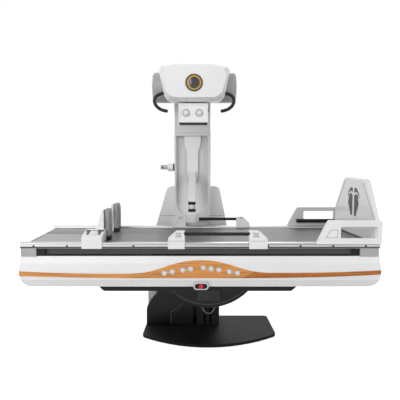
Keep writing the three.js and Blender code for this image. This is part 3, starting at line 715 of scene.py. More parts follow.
def on_points(tree, entry, leave, part, surface):
    """Ends a tree: the part on every point, made real and given its finish. Returns the placing node."""
    place = tree.nodes.new("GeometryNodeInstanceOnPoints")
    tree.links.new(entry.outputs["Geometry"], place.inputs["Points"])
    tree.links.new(part.outputs["Mesh"], place.inputs["Instance"])
    real = tree.nodes.new("GeometryNodeRealizeInstances")
    tree.links.new(place.outputs["Instances"], real.inputs["Geometry"])
    coat = tree.nodes.new("GeometryNodeSetMaterial")
    coat.inputs["Material"].default_value = finish(surface)
    tree.links.new(real.outputs["Geometry"], coat.inputs["Geometry"])
    tree.links.new(coat.outputs["Geometry"], leave.inputs["Geometry"])
    return place


def scattered(name, points, tree, **inputs):
    """The parts that a tree puts on the points, as a plain mesh."""
    mesh = bpy.data.meshes.new(name)
    mesh.from_pydata([tuple(point) for point in points], [], [])
    piece = bpy.data.objects.new(name, mesh)
    bpy.context.scene.collection.objects.link(piece)
    parts = piece.modifiers.new("parts", "NODES")
    parts.node_group = tree
    keys = {item.name: item.identifier for item in tree.interface.items_tree if item.in_out == "INPUT"}
    for socket, value in inputs.items():
        parts[keys[socket]] = value
    return baked(piece)


HEAD_SIDES = 28
HEAD_TOP = 0.82
SOCKET_REACH = 0.48
SOCKET_DEPTH = 2.2
SOCKET_LIFT = 1.4
FACING = {"front": (math.pi / 2, 0, 0), "back": (-math.pi / 2, 0, 0),
          "left": (0, -math.pi / 2, 0), "right": (0, math.pi / 2, 0)}


def screw_tree(surface):
    """Geometry Nodes: a tapered screw head with a hexagon socket on every point, facing the given turn."""
    tree, entry, leave = new_tree("screw_heads", Radius="Float", Height="Float", Turn="Vector")

    def scaled(source, factor):
        node = tree.nodes.new("ShaderNodeMath")
        node.operation = "MULTIPLY"
        node.inputs[1].default_value = factor
        tree.links.new(entry.outputs[source], node.inputs[0])
        return node.outputs["Value"]

    head = tree.nodes.new("GeometryNodeMeshCone")
    head.fill_type = "NGON"
    head.inputs["Vertices"].default_value = HEAD_SIDES
    tree.links.new(scaled("Radius", HEAD_TOP), head.inputs["Radius Top"])
    tree.links.new(entry.outputs["Radius"], head.inputs["Radius Bottom"])
    tree.links.new(entry.outputs["Height"], head.inputs["Depth"])
    socket = tree.nodes.new("GeometryNodeMeshCylinder")
    socket.fill_type = "NGON"
    socket.inputs["Vertices"].default_value = 6
    tree.links.new(scaled("Radius", SOCKET_REACH), socket.inputs["Radius"])
    tree.links.new(scaled("Height", SOCKET_DEPTH), socket.inputs["Depth"])
    up = tree.nodes.new("ShaderNodeCombineXYZ")
    tree.links.new(scaled("Height", SOCKET_LIFT), up.inputs["Z"])
    lift = tree.nodes.new("GeometryNodeTransform")
    tree.links.new(up.outputs["Vector"], lift.inputs["Translation"])
    tree.links.new(socket.outputs["Mesh"], lift.inputs["Geometry"])
    hole = tree.nodes.new("GeometryNodeMeshBoolean")
    hole.operation = "DIFFERENCE"
    tree.links.new(head.outputs["Mesh"], hole.inputs["Mesh 1"])
    tree.links.new(lift.outputs["Geometry"], hole.inputs["Mesh 2"])
    place = on_points(tree, entry, leave, hole, surface)
    tree.links.new(entry.outputs["Turn"], place.inputs["Rotation"])
    return tree


def screws(name, points, facing, body, slot, radius, height=0.003, surface="black_satin"):
    """Screw heads at the points, as one piece on one body."""
    tree = screw_tree(surface)
    heads = scattered(name, points, tree, Radius=radius, Height=height, Turn=FACING[facing])
    return carried(smoothed(heads), body, slot)


def slots(name, points, size, body, slot, surface):
    """Vent slots at the points, as one piece on one body."""
    tree, entry, leave = new_tree("vent_slots", Size="Vector")
    bar = tree.nodes.new("GeometryNodeMeshCube")
    tree.links.new(entry.outputs["Size"], bar.inputs["Size"])
    on_points(tree, entry, leave, bar, surface)
    return carried(scattered(name, points, tree, Size=size), body, slot)


# Pads

VOXEL = 0.004
PRESSURE = 4.0
CLOTH_FRAMES = 20


def stuffed(piece, cap, low, high):
    """Blows the shell up with cloth pressure, keeps each point near its start and inside the given box."""
    remesh = piece.modifiers.new("skin", "REMESH")
    remesh.mode = "VOXEL"
    remesh.voxel_size = VOXEL
    baked(piece)
    rest = [vertex.co.copy() for vertex in piece.data.vertices]
    cloth = piece.modifiers.new("air", "CLOTH")
    cloth.settings.use_pressure = True
    cloth.settings.uniform_pressure_force = PRESSURE
    cloth.settings.effector_weights.gravity = 0.0
    cloth.settings.quality = 5
    cloth.point_cache.frame_start = 1
    cloth.point_cache.frame_end = CLOTH_FRAMES
    scene = bpy.context.scene
    for number in range(1, CLOTH_FRAMES + 1):
        scene.frame_set(number)
        bpy.context.view_layer.update()
    baked(piece)
    for vertex, start in zip(piece.data.vertices, rest):
        move = vertex.co - start
        if move.length > cap:
            vertex.co = start + move * (cap / move.length)
    for vertex in piece.data.vertices:
        vertex.co = [min(max(value, least), most) for value, least, most in zip(vertex.co, low, high)]
    soft = piece.modifiers.new("soft", "SMOOTH")
    soft.iterations = 4
    fine = piece.modifiers.new("fine", "SUBSURF")
    fine.levels = 1
    fine.render_levels = 1
    return smoothed(baked(piece), math.radians(80))


# Operators

CAMERA_AT = (-0.060, -4.0545, 1.3305 + RAISE)
CAMERA_TURN = math.radians(85.047)
SENSOR = 36.0
AMBIENT = 0.50
FLOOR_REACH = 30.0
# Name, place, aim, width and power of each lamp.
LAMPS = (
    ("key", (-2.6, -4.2, 2.5), (-0.1, -0.4, 0.9), 4.0, 100.0),
    ("fill", (3.2, -3.8, 2.2), (0.1, -0.4, 0.8), 2.4, 42.0),
    ("top", (0.0, 0.6, 4.6), (0.0, -0.3, 0.8), 3.0, 10.0),
    ("back", (0.4, 4.2, 4.4), (-0.1, 0.0, 0.9), 2.4, 60.0),
    ("window", (-2.5, 4.2, 1.6), (-0.8, 0.0, 0.9), 1.8, 14.0),
)


class RADIOGRAPHY_OT_stage(bpy.types.Operator):
    """Adds the pale floor, the studio light and the camera."""
    bl_idname = "radiography.stage"
    bl_label = "Stage"

    def execute(self, context):
        scene = context.scene
        scene.view_settings.view_transform = "Standard"
        self.world(scene)
        self.floor()
        for lamp in LAMPS:
            self.lamp(scene, *lamp)
        view = bpy.data.cameras.new("camera")
        view.lens = sizes().lens
        view.sensor_width = SENSOR
        camera = bpy.data.objects.new("camera", view)
        camera.location = CAMERA_AT
        camera.rotation_euler = (CAMERA_TURN, 0, 0)
        scene.collection.objects.link(camera)
        scene.camera = camera
        return {"FINISHED"}

    def lamp(self, scene, name, place, aim, width, power):
        """A round soft lamp turned to its aim."""
        lamp = bpy.data.lights.new(name, "AREA")
        lamp.shape = "DISK"
        lamp.size = width
        lamp.energy = power
        stand = bpy.data.objects.new(name, lamp)
        stand.location = place
        stand.rotation_euler = (Vector(aim) - Vector(place)).to_track_quat("-Z", "Y").to_euler()
        scene.collection.objects.link(stand)

    def world(self, scene):
        """Even light all round, seen as plain white."""
        world = bpy.data.worlds.new("studio")
        scene.world = world
        world.use_nodes = True
        tree = world.node_tree
        tree.nodes.clear()
        out = tree.nodes.new("ShaderNodeOutputWorld")
        light = tree.nodes.new("ShaderNodeBackground")
        light.inputs["Color"].default_value = (1, 1, 1, 1)
        light.inputs["Strength"].default_value = AMBIENT
        seen = tree.nodes.new("ShaderNodeBackground")
        seen.inputs["Color"].default_value = (1, 1, 1, 1)
        mix = tree.nodes.new("ShaderNodeMixShader")
        tree.links.new(direct_rays(tree), mix.inputs["Fac"])
        tree.links.new(light.outputs["Background"], mix.inputs[1])
        tree.links.new(seen.outputs["Background"], mix.inputs[2])
        tree.links.new(mix.outputs["Shader"], out.inputs["Surface"])

    def floor(self):
        """A wide floor under the stand."""
        form = bmesh.new()
        bmesh.ops.create_grid(form, x_segments=8, y_segments=8, size=FLOOR_REACH)
        floor = piece_from(form, "floor", "floor")


VENT_AT = (-0.190, 0.290)
VENT_PITCH = 0.018
VENT_COUNT = 7
VENT_SIZE = (0.200, 0.0012, 0.006)
# Half widths, to the left and to the right, of the highlight line painted on the front cover's crease.
GLINT_REACH = (0.0015, 0.0020)
SHELL_FRONT = ((-0.473, 0.100), (-0.300, 0.100), (-0.300, 0.400), (-0.415, 0.400), (-0.473, 0.285))
# Path of the highlight painted along the front cover's crease.
COVER_CREASE_GLINT = ((-0.192, 0.196), (-0.290, 0.116), (-0.290, 0.030))


class RADIOGRAPHY_OT_stand(bpy.types.Operator):
    """Dresses the floor plate, the lifting mast, its covers and rams."""
    bl_idname = "radiography.stand"
    bl_label = "Floor stand"

    def execute(self, context):
        dressed("floor_plate", "plate_black", sizes().edge, 4)
        dressed("lift_mast", "black_satin", sizes().metal_edge)
        dressed("stand_cover", "black_gloss", sizes().edge)
        dressed("stand_rear_shell", "pale_grey", sizes().edge)
        dressed("lift_carriage", "black_satin", sizes().metal_edge)
        dressed("tilt_motor", "black_satin", sizes().metal_edge)
        dressed("lift_ram_barrel", "black_satin", sizes().metal_edge)
        dressed("lift_ram_rod", "steel", sizes().metal_edge)
        self.cover_crease_glint()
        self.rear_shell()
        return {"FINISHED"}

    def cover_crease_glint(self):
        """A highlight painted along the crease of the front cover: a lighter grey line where its chamfer
        catches the light.
        """
        face = box_of("stand_cover")[0].y
        left, right = GLINT_REACH
        joint = [(u - left, v) for u, v in COVER_CREASE_GLINT]
        joint += [(u + right, v) for u, v in reversed(COVER_CREASE_GLINT)]
        line = inlay("stand_cover_crease_glint", joint, on_front(face), "hoop_and_glint_grey")
        carried(line, "stand", NODE_SLOT["stand_cover"])

    def rear_shell(self):
        """The vents in the back of the rear shell and the plate that closes its front."""
        slot = NODE_SLOT["stand_rear_shell"]
        inside, outside = (corner.y for corner in box_of("stand_rear_shell"))
        x, z = VENT_AT
        vents = [(x, outside, z + step * VENT_PITCH) for step in range(VENT_COUNT)]
        slots("rear_shell_vents", vents, VENT_SIZE, "stand", slot, "deep_grey")
        front = slab("rear_shell_front", SHELL_FRONT, "Y", inside + 0.0005, inside + 0.0045,
                     "white", 0.001, 2)
        carried(front, "stand", slot)


TILT_Z = 0.598 + RAISE
# Inner and outer radius, start and end in degrees of the highlight painted along the sector's lower rim.
SECTOR_RIM_GLINT = (0.386, 0.389, 205, 335)
SECTOR_SCREW_X = (-0.144, 0.140)
SECTOR_SCREW_Z = 0.313 + RAISE


class RADIOGRAPHY_OT_tilt(bpy.types.Operator):
    """Dresses the tilting sector with a highlight painted on its rim, the hub, the cable hoop and the beam
    under the table.
    """
    bl_idname = "radiography.tilt"
    bl_label = "Tilting drive"

    def execute(self, context):
        dressed("tilt_sector", "black_gloss", sizes().metal_edge)
        dressed("hub_bracket", "black_soft", sizes().edge)
        dressed("shift_beam", "black_dull", sizes().edge)
        self.hoop()
        face = box_of("tilt_sector")[0].y
        # A grey arc painted on the sector's lower rim as its highlight.
        rim = arc_band((0.0, TILT_Z), *SECTOR_RIM_GLINT, steps=64)
        line = inlay("sector_rim_glint", rim, on_front(face), "hoop_and_glint_grey")
        carried(line, "tilt", "sector_black")
        places = [(x, face, SECTOR_SCREW_Z) for x in SECTOR_SCREW_X]
        screws("sector_screws", places, "front", "tilt", "sector_black", sizes().screw,
               surface="black_soft")
        return {"FINISHED"}

    def hoop(self):
        """The bent bar that guides the cables under the sector."""
        low, high = box_of("cable_hoop")
        radius = (high.y - low.y) / 2
        y = (low.y + high.y) / 2
        left, right = low.x + radius, high.x - radius
        middle = (left + right) / 2
        top, foot = high.z - radius * 0.6, low.z + radius
        half = [(left, top), (left + 0.012, top - 0.008), (left + 0.026, foot + 0.020),
                (middle - 0.018, foot + 0.003)]
        turn = half + [(middle, foot)] + [(2 * middle - x, z) for x, z in reversed(half)]
        path = [Vector((x, y, z)) for x, z in turn]
        stands_for(tube("cable_hoop_bar", curve_through(path), radius * 0.98, "hoop_and_glint_grey"), "cable_hoop")


class RADIOGRAPHY_OT_body(bpy.types.Operator):
    """Dresses the white table body, its wood band and the column's track."""
    bl_idname = "radiography.body"
    bl_label = "Table body"

    def execute(self, context):
        for node in ("body_front", "body_rear", "body_end_left", "body_end_right", "body_floor"):
            dressed(node, "white", sizes().metal_edge, 2, flatten=False)
        dressed("wood_band", "wood", 0.0006, 2, flatten=False)
        dressed("column_track", "aluminium", sizes().metal_edge)
        return {"FINISHED"}


BUTTON_PAIRS = ((1, 2), (3, 4), (5, 6), (8, 9))
BUTTON_FACE = ((1, 0.0026), (0.985, 0.0013), (0.94, 0.0004), (0.88, 0), (0.78, 0), (0.73, 0.0004),
               (0.69, 0.0014), (0.62, 0.0016), (0.35, 0.0009), (0, 0.0007))
BUTTON_RIM = ((0.97, 0.0), (1, 0.0008))
BUTTON_RING = (0.62, 0.76)
LINK_DEPTH = 0.0036
LINK_INSET = 0.0172
LINK_RADIUS = 0.0022
STOP_FACE = ((0.62, 0.014), (0.94, 0.012), (1, 0.009), (1, 0.0045), (0.93, 0.0018), (0.75, 0.0005),
             (0.4, 0), (0, 0))
STOP_STEM = ((0.62, 0.0),)
STOP_BORE = 0.014
STOP_DISH = (0.036, 0.0142)
# (inset from the outline, depth behind the front). The first ring lies at the back.
STOP_RIM = ((0.0, None), (0.0, 0.010), (0.0006, 0.005), (0.002, 0.002), (0.0045, 0.0004),
            (0.0065, 0.0), (0.0080, 0.0008), (0.0090, 0.003), (0.0094, 0.010))


class RADIOGRAPHY_OT_controls(bpy.types.Operator):
    """Makes the nine buttons, the stop button and its bezel."""
    bl_idname = "radiography.controls"
    bl_label = "Buttons"

    def execute(self, context):
        for index in range(1, 10):
            self.button(index)
        links = [self.link(*pair) for pair in BUTTON_PAIRS]
        carried(gathered("button_links", *links), "table", "button_silver")
        self.stop()
        return {"FINISHED"}

    def button(self, index):
        """A silver cap with a dished face and a grey ring."""
        node = f"button_{index}"
        cap = faced(node + "_cap", node, BUTTON_FACE, "silver", rim=BUTTON_RIM)
        stands_for(ringed(cap, node, BUTTON_RING, "soft_ink_and_shade"), node)

    def link(self, first, second):
        """The short bar between two buttons of a pair."""
        ends = []
        for index in (first, second):
            low, high = box_of(f"button_{index}")
            ends.append(Vector(((low.x + high.x) / 2, low.y + LINK_DEPTH, (low.z + high.z) / 2)))
        run = (ends[1] - ends[0]).normalized() * LINK_INSET
        start, end = ends[0] + run, ends[1] - run
        path = [start.lerp(end, step / 6) for step in range(7)]
        return tube(f"link_{first}_{second}", path, LINK_RADIUS, "silver", 14)

    def stop(self):
        """The stop button in its dished bezel."""
        low, high = box_of("e_stop_bezel")
        front, back = low.y, high.y
        middle = Vector(((low.x + high.x) / 2, (low.z + high.z) / 2))
        rings = []
        for inset, depth in STOP_RIM:
            line = boxed(low.x + inset, low.z + inset, high.x - inset, high.z - inset, 0.019 - inset * 0.8)
            rings.append([(u, back if depth is None else front + depth, v) for u, v in line])
        spokes = [(Vector((u, v)) - middle).normalized() * STOP_BORE + middle for u, _, v in rings[-1]]
        for depth in (front + 0.011, back - 0.006):
            rings.append([(spoke.x, depth, spoke.y) for spoke in spokes])
        bezel = smoothed(skinned("e_stop_bezel_shell", rings, "pale_grey"))
        painted(bezel, "black_gloss", lambda at, normal: abs(at.x - middle.x) < STOP_DISH[0]
                and abs(at.z - middle.y) < STOP_DISH[1] and front + 0.002 < at.y < back - 0.001)
        stands_for(bezel, "e_stop_bezel")
        button = faced("e_stop_mushroom", "e_stop_button", STOP_FACE, "red", rim=STOP_STEM)
        stands_for(button, "e_stop_button")


# Foot and top, over the rail's foot, of the dark strip painted as the shade under each rail.
RAIL_SHADE_STRIP = (0.0022, 0.0108)
SHADE_STRIP_PROUD = 0.0002
END_STRIP = 0.030
# (distance from the table's middle line, height over the rail).
RAIL_LIP = ((0.340, -0.001), (0.342, 0.009), (0.350, 0.013), (0.366, 0.013), (0.375, 0.010),
            (0.3795, 0.0022), (0.3595, 0.0022), (0.3595, -0.001))
# Foot and top, then the ends along the table, of the black sheets painted as the shade in the gaps beside
# the end blocks.
GAP_SHADE_HEIGHTS = (0.7365 + RAISE, 0.7775 + RAISE)
END_GAP_SHADES = ((-1.016, -0.968), (0.836, 0.875))
RAIL_SCREW_X = (-1.028, -0.834, -0.447, 0.336, 0.525, 0.715, 0.905)
RAIL_SCREW_Z = 0.792 + RAISE
SCREW_SINK = 0.00002
SCREW_FLUSH = 0.00024


class RADIOGRAPHY_OT_top(bpy.types.Operator):
    """Dresses the sliding tabletop, its rails with their screws and the end blocks, with painted shade on
    the top's sides, under the rails and in the gaps at its ends.
    """
    bl_idname = "radiography.top"
    bl_label = "Tabletop"

    def execute(self, context):
        panel = eased(copied("tabletop", "tabletop_dressed", "laminate"), sizes().metal_edge)
        # The tabletop's front and back faces are painted darker as the shade under the rails.
        painted(panel, "ink_and_shade_grey", lambda at, normal: abs(normal.y) > 0.9)
        stands_for(panel, "tabletop")
        for node in ("rail_front", "rail_rear"):
            dressed(node, "aluminium", 0.003, 4)
        for node in ("end_block_left", "end_block_right"):
            dressed(node, "mid_grey", sizes().edge, 4)
        self.shade_strips()
        self.lips()
        self.end_strips()
        self.end_gap_shades()
        self.screw_row("rail_screws", box_of("rail_front")[0].y + SCREW_SINK, "front")
        self.screw_row("rear_rail_screws", box_of("rail_rear")[1].y - SCREW_SINK, "back")
        return {"FINISHED"}

    def lips(self):
        """The raised lip on each rail."""
        low, high = box_of("tabletop")
        lips = []
        for turn in (-1, 1):
            line = [(TABLE_MID + turn * out, RAIL_TOP + rise) for out, rise in RAIL_LIP]
            lips.append(slab("rail_lip", line, "X", low.x + 0.002, high.x - 0.002, "aluminium", 0.0012, 2))
        carried(gathered("rail_lips", *lips), "top", "rail_aluminium")

    def end_strips(self):
        """The metal strip across each end of the top."""
        low, high = box_of("tabletop")
        strips = []
        for start, end in ((low.x + 0.001, low.x + END_STRIP), (high.x - END_STRIP, high.x - 0.001)):
            outline = boxed(start, low.y + 0.018, end, high.y - 0.018, 0.002)
            strips.append(slab("end_strip", outline, "Z", RAIL_TOP - 0.0008, RAIL_TOP + 0.0026,
                               "aluminium", 0.001, 2))
        carried(gathered("end_strips", *strips), "top", "rail_aluminium")

    def end_gap_shades(self):
        """A black sheet painted as the shade in the gap beside each end block."""
        front = box_of("tabletop")[0].y
        foot, head = GAP_SHADE_HEIGHTS
        gaps = []
        for start, end in END_GAP_SHADES:
            outline = boxed(start, foot, end, head, 0.0)
            gaps.append(slab("end_gap_shade", outline, "Y", front - 0.0012, front + 0.001, "black_dull"))
        carried(gathered("end_gap_shades", *gaps), "top", NODE_SLOT["tabletop"])

    def screw_row(self, name, y, facing):
        """A row of flush screws along a rail."""
        places = [(x, y, RAIL_SCREW_Z) for x in RAIL_SCREW_X]
        screws(name, places, facing, "top", "rail_aluminium", sizes().screw, SCREW_FLUSH)

    def shade_strips(self):
        """A dark strip painted as the shade under the foot of each rail."""
        lines = []
        for node, corner, turn in (("rail_front", 0, 1), ("rail_rear", 1, -1)):
            low, high = box_of(node)
            face = (low, high)[corner].y
            foot, head = (low.z + rise for rise in RAIL_SHADE_STRIP)
            near, deep = face - turn * SHADE_STRIP_PROUD, face + turn * 0.001
            outline = [(near, foot), (deep, foot), (deep, head), (near, head)]
            lines.append(slab("shade_strip", outline, "X", low.x + 0.004, high.x - 0.004, "ink_and_shade_grey"))
        carried(gathered("rail_shade_strips", *lines), "top", "rail_aluminium")


PAD_START = 0.955
PAD_SWELL = 0.006
KEY_INSET = (0.027, 0.024)
# (distance from the table's middle line, height) at both ends of the slope.
CLAMP_SLOPE = ((0.262, 0.872 + RAISE), (0.388, 0.846 + RAISE))
CLAMP_LEVER = (((-0.021, 0.286, 0.021, 0.322, 0.0175), "white", 0.007),
               ((-0.013, 0.290, 0.013, 0.301, 0.005), "ink_and_shade_grey", 0.0076))
CLAMP_KEY = ((-0.020, 0.272), (0.020, 0.272), (0.020, 0.290), (0.007, 0.294), (0.006, 0.345),
             (-0.006, 0.345), (-0.007, 0.294), (-0.020, 0.290))


class RADIOGRAPHY_OT_shoulder_rests(bpy.types.Operator):
    """Makes the shoulder clamps with their keys and levers, and the stuffed pads."""
    bl_idname = "radiography.shoulder_rests"
    bl_label = "Shoulder rests"

    def execute(self, context):
        for side in ("front", "rear"):
            dressed("shoulder_clamp_" + side, "white", sizes().edge)
            self.keys(side)
            self.pad(side)
        return {"FINISHED"}

    def keys(self, side):
        """The two keys and the lever plate on a clamp's sloping top."""
        low, high = box_of("shoulder_clamp_" + side)
        turn = -1 if side == "front" else 1
        near, far = CLAMP_SLOPE

        def on_top(u, v, height):
            fall = (v - near[0]) / (far[0] - near[0])
            return (u, TABLE_MID + turn * v, near[1] + (far[1] - near[1]) * fall + height)

        marks = []
        for middle in (low.x + KEY_INSET[0], high.x - KEY_INSET[1]):
            shape = [(middle + u, v) for u, v in CLAMP_KEY]
            marks.append(inlay("clamp_key", shape, on_top, "ink_and_shade_grey", proud=0.003))
        middle = (low.x + high.x) / 2
        for outline, surface, proud in CLAMP_LEVER:
            shape = [(middle + u, v) for u, v in boxed(*outline)]
            marks.append(inlay("clamp_lever", shape, on_top, surface, proud=proud))
        carried(gathered(f"clamp_keys_{side}", *marks), "shoulder_rest_" + side, "accessory_white")

    def pad(self, side):
        """A stuffed pad in the place of its solid, on a black foot that also stands in for the shadow under
        the pad.
        """
        node = "shoulder_pad_" + side
        low, high = box_of(node)
        form = bmesh.new()
        form.from_mesh(frame["nodes"][node].data)
        bmesh.ops.remove_doubles(form, verts=form.verts, dist=2e-5)
        middle = (low + high) / 2
        for vertex in form.verts:
            vertex.co = middle + (vertex.co - middle) * PAD_START
        shell = stuffed(piece_from(form, node + "_cushion", "vinyl"), PAD_SWELL, low, high)
        stands_for(shell, node)
        # A black foot under the pad, standing in for both a rubber foot and the shadow beneath the pad.
        outline = boxed(low.x + 0.004, low.y + 0.008, high.x - 0.006, high.y - 0.008, 0.008)
        foot = slab(node + "_shade_foot", outline, "Z", RAIL_TOP + 0.0005, low.z + 0.012, "black_dull", 0.001, 2)
        carried(foot, "shoulder_rest_" + side, "accessory_white")


GRIP_BRACKETS = {"grip_front": (-0.1485, 0.2255), "grip_rear": (-0.1625, 0.1995)}
GRIP_JOINT = 0.822 + RAISE
MARK_SHIFT = 0.012
SIGN_SHARE = 0.8
SIGN_TOP = 0.884 + RAISE
SIGN_FALL = 0.03
SIGN_HEIGHT = 0.0025
# (distance from the table's middle line, height) at the slope's foot and top.
GRIP_SLOPE = ((0.388, 0.834 + RAISE), (0.354, 0.879 + RAISE))
# Half width, foot and top of each bar, the last two as shares of the slope.
GRIP_MARK = ((0.020, 0.22, 0.32), (0.015, 0.42, 0.52), (0.019, 0.62, 0.72))


class RADIOGRAPHY_OT_hand_grips(bpy.types.Operator):
    """Dresses the hand grips: white brackets with a black bar."""
    bl_idname = "radiography.hand_grips"
    bl_label = "Hand grips"

    def execute(self, context):
        for node in ("grip_front", "grip_rear"):
            piece = eased(copied(node, node + "_dressed", "white"), 0.003)
            low, high = box_of(node)
            inner = GRIP_BRACKETS[node]
            painted(piece, "rubber", lambda at, normal: inner[0] < at.x < inner[1])
            stands_for(piece, node)
            self.marks(node, (low.x, inner[0]), (inner[1], high.x))
        return {"FINISHED"}

    def marks(self, node, *brackets):
        """Bars for the signs on the brackets, and the joint line of each bracket."""
        turn = -1 if node == "grip_front" else 1
        low, high = GRIP_SLOPE
        faces = on_front(box_of(node)[0].y), on_back(box_of(node)[1].y)
        outside, inside = faces if turn < 0 else reversed(faces)

        def on_slope(u, v, height):
            out = low[0] + (high[0] - low[0]) * v + height * 0.8
            return (u, TABLE_MID + turn * out, low[1] + (high[1] - low[1]) * v + height * 0.6)

        bars = []
        for start, end in brackets:
            middle = (start + end) / 2 + (MARK_SHIFT if start < 0 else -MARK_SHIFT)
            for reach, foot, top in GRIP_MARK:
                shape = boxed(middle - reach, foot, middle + reach, top, 0.0)
                bars.append(inlay("grip_mark", shape, on_slope, "soft_ink_and_shade"))
            for reach, foot, _ in GRIP_MARK:
                half = reach * SIGN_SHARE
                level = SIGN_TOP - foot * SIGN_FALL
                shape = boxed(middle - half, level, middle + half, level + SIGN_HEIGHT, 0.0)
                bars.append(inlay("grip_sign", shape, inside, "soft_ink_and_shade"))
            shape = boxed(start + 0.006, GRIP_JOINT, end - 0.006, GRIP_JOINT + 0.0018, 0.0)
            bars.append(inlay("grip_joint", shape, outside, "soft_ink_and_shade"))
        carried(gathered(node + "_marks", *bars), "hand_" + node, "accessory_white")


PANEL_RECESS = ((0.668, 0.842 + RAISE, 0.004), (0.738, 0.842 + RAISE, 0.004),
                (0.738, 0.888 + RAISE, 0.004), (0.700, 0.888 + RAISE, 0.008))
BOARD_SPLAY = 0.057
LEDGE = (0.630, 0.836 + RAISE, 0.860 + RAISE)
SOLE_AT = (TABLE_MID, 1.018 + RAISE)
SOLE_SCALE = (0.84, 0.88)
SOLE_FORE = ((0.018, 0.046, 0.010), (0.020, -0.100, 0.006), (0.052, -0.104, 0.008), (0.112, -0.012, 0.020),
             (0.088, 0.052, 0.012), (0.050, 0.062, 0.010))
SOLE_HEEL = ((0.018, 0.064, 0.004), (0.050, 0.078, 0.006), (0.092, 0.066, 0.004), (0.122, 0.016, 0.003),
             (0.112, 0.066, 0.008), (0.062, 0.104, 0.012), (0.018, 0.102, 0.006))
# Outline of the grey line painted as shade along each crease of the footboard.
BOARD_CREASE = ((0.334, 0.952 + RAISE), (0.340, 0.952 + RAISE), (0.160, 1.146 + RAISE),
                (0.154, 1.146 + RAISE))


class RADIOGRAPHY_OT_footboard(bpy.types.Operator):
    """Dresses the footboard and its side panels."""
    bl_idname = "radiography.footboard"
    bl_label = "Footboard"

    def execute(self, context):
        dressed("footboard", "white", 0.008, 4)
        dressed("foot_panel_front", "white", sizes().edge)
        dressed("foot_panel_rear", "column", sizes().edge)
        self.soles()
        self.creases()
        outside = box_of("foot_panel_front")[0].y
        line = [(u, outside + 0.0006, v) for u, v in rounded(*PANEL_RECESS, steps=6)]
        rim = tube("panel_recess_rim", line, 0.0016, "soft_ink_and_shade", 10, True)
        carried(rim, "foot_support", "accessory_white")
        inside = box_of("foot_panel_rear")[0].y
        start, foot, head = LEDGE
        outline = boxed(start, foot, box_of("footboard")[0].x - 0.0004, head, 0.006)
        ledge = slab("foot_ledge", outline, "Y", inside - 0.020, inside + 0.001, "black_satin", 0.002)
        carried(ledge, "foot_support", "foot_grey")
        return {"FINISHED"}

    def on_board(self, u, v, height):
        """Puts a point on the board's splayed inner face."""
        low, high = box_of("footboard")
        return (low.x + BOARD_SPLAY * (high.y - u) / (high.y - low.y) - height, u, v)

    def soles(self):
        """A plain pair of soles in two parts each."""
        marks = []
        wide, high = SOLE_SCALE
        for turn in (-1, 1):
            for part in (SOLE_FORE, SOLE_HEEL):
                line = rounded(*part, steps=6)
                shape = [(SOLE_AT[0] + turn * u * wide, SOLE_AT[1] + v * high) for u, v in line]
                marks.append(inlay("sole", shape, self.on_board, "ink_and_shade_grey"))
        carried(gathered("sole_marks", *marks), "foot_support", "foot_grey")

    def creases(self):
        """Grey lines painted as the shade in the creases near the board's slanted shoulders."""
        lines = []
        for turn in (-1, 1):
            shape = [(TABLE_MID + turn * u, v) for u, v in BOARD_CREASE]
            lines.append(inlay("crease", shape, self.on_board, "soft_ink_and_shade"))
        carried(gathered("footboard_creases", *lines), "foot_support", "foot_grey")


CARRIAGE_PAINT = (0.775, -0.175)
BASE_SEAM = (-0.364, 0.8585 + RAISE, 0.122, 0.8615 + RAISE)
LEVER_STEP = ((0.0165, -0.2990), (0.0262, -0.2980), (0.0288, -0.2965), (0.0300, -0.2935))
SERVICE_COVER = (-0.196, 1.600, -0.034, 1.830)
COVER_SCREW_INSET = 0.012
RECESS = (-0.2312, -0.0058, 0.892 + RAISE, 1.4566 + RAISE)
BOTTLE_X = -0.115
BOTTLE_BACK = -0.0590
# The first layer is a deep grey rim round the panel: its seam, darkened as painted shade. The second is the
# white panel.
BOTTLE_LAYERS = (("bottle_shade_rim", 0.0016, -0.0700, "deep_grey", 0.0),
                 ("bottle_panel", 0.0, -0.0852, "white", 0.0012))
# (half width, height, corner radius) of one side of the panel.
BOTTLE_HALF = ((0.0250, 1.154, 0.012), (0.0415, 1.196, 0.020), (0.0415, 1.396, 0.040),
               (0.0600, 1.436, 0.030), (0.0600, 1.494, 0.0))
BOTTLE = (-0.1745, -0.0555, 1.139 + RAISE, 1.4615 + RAISE)


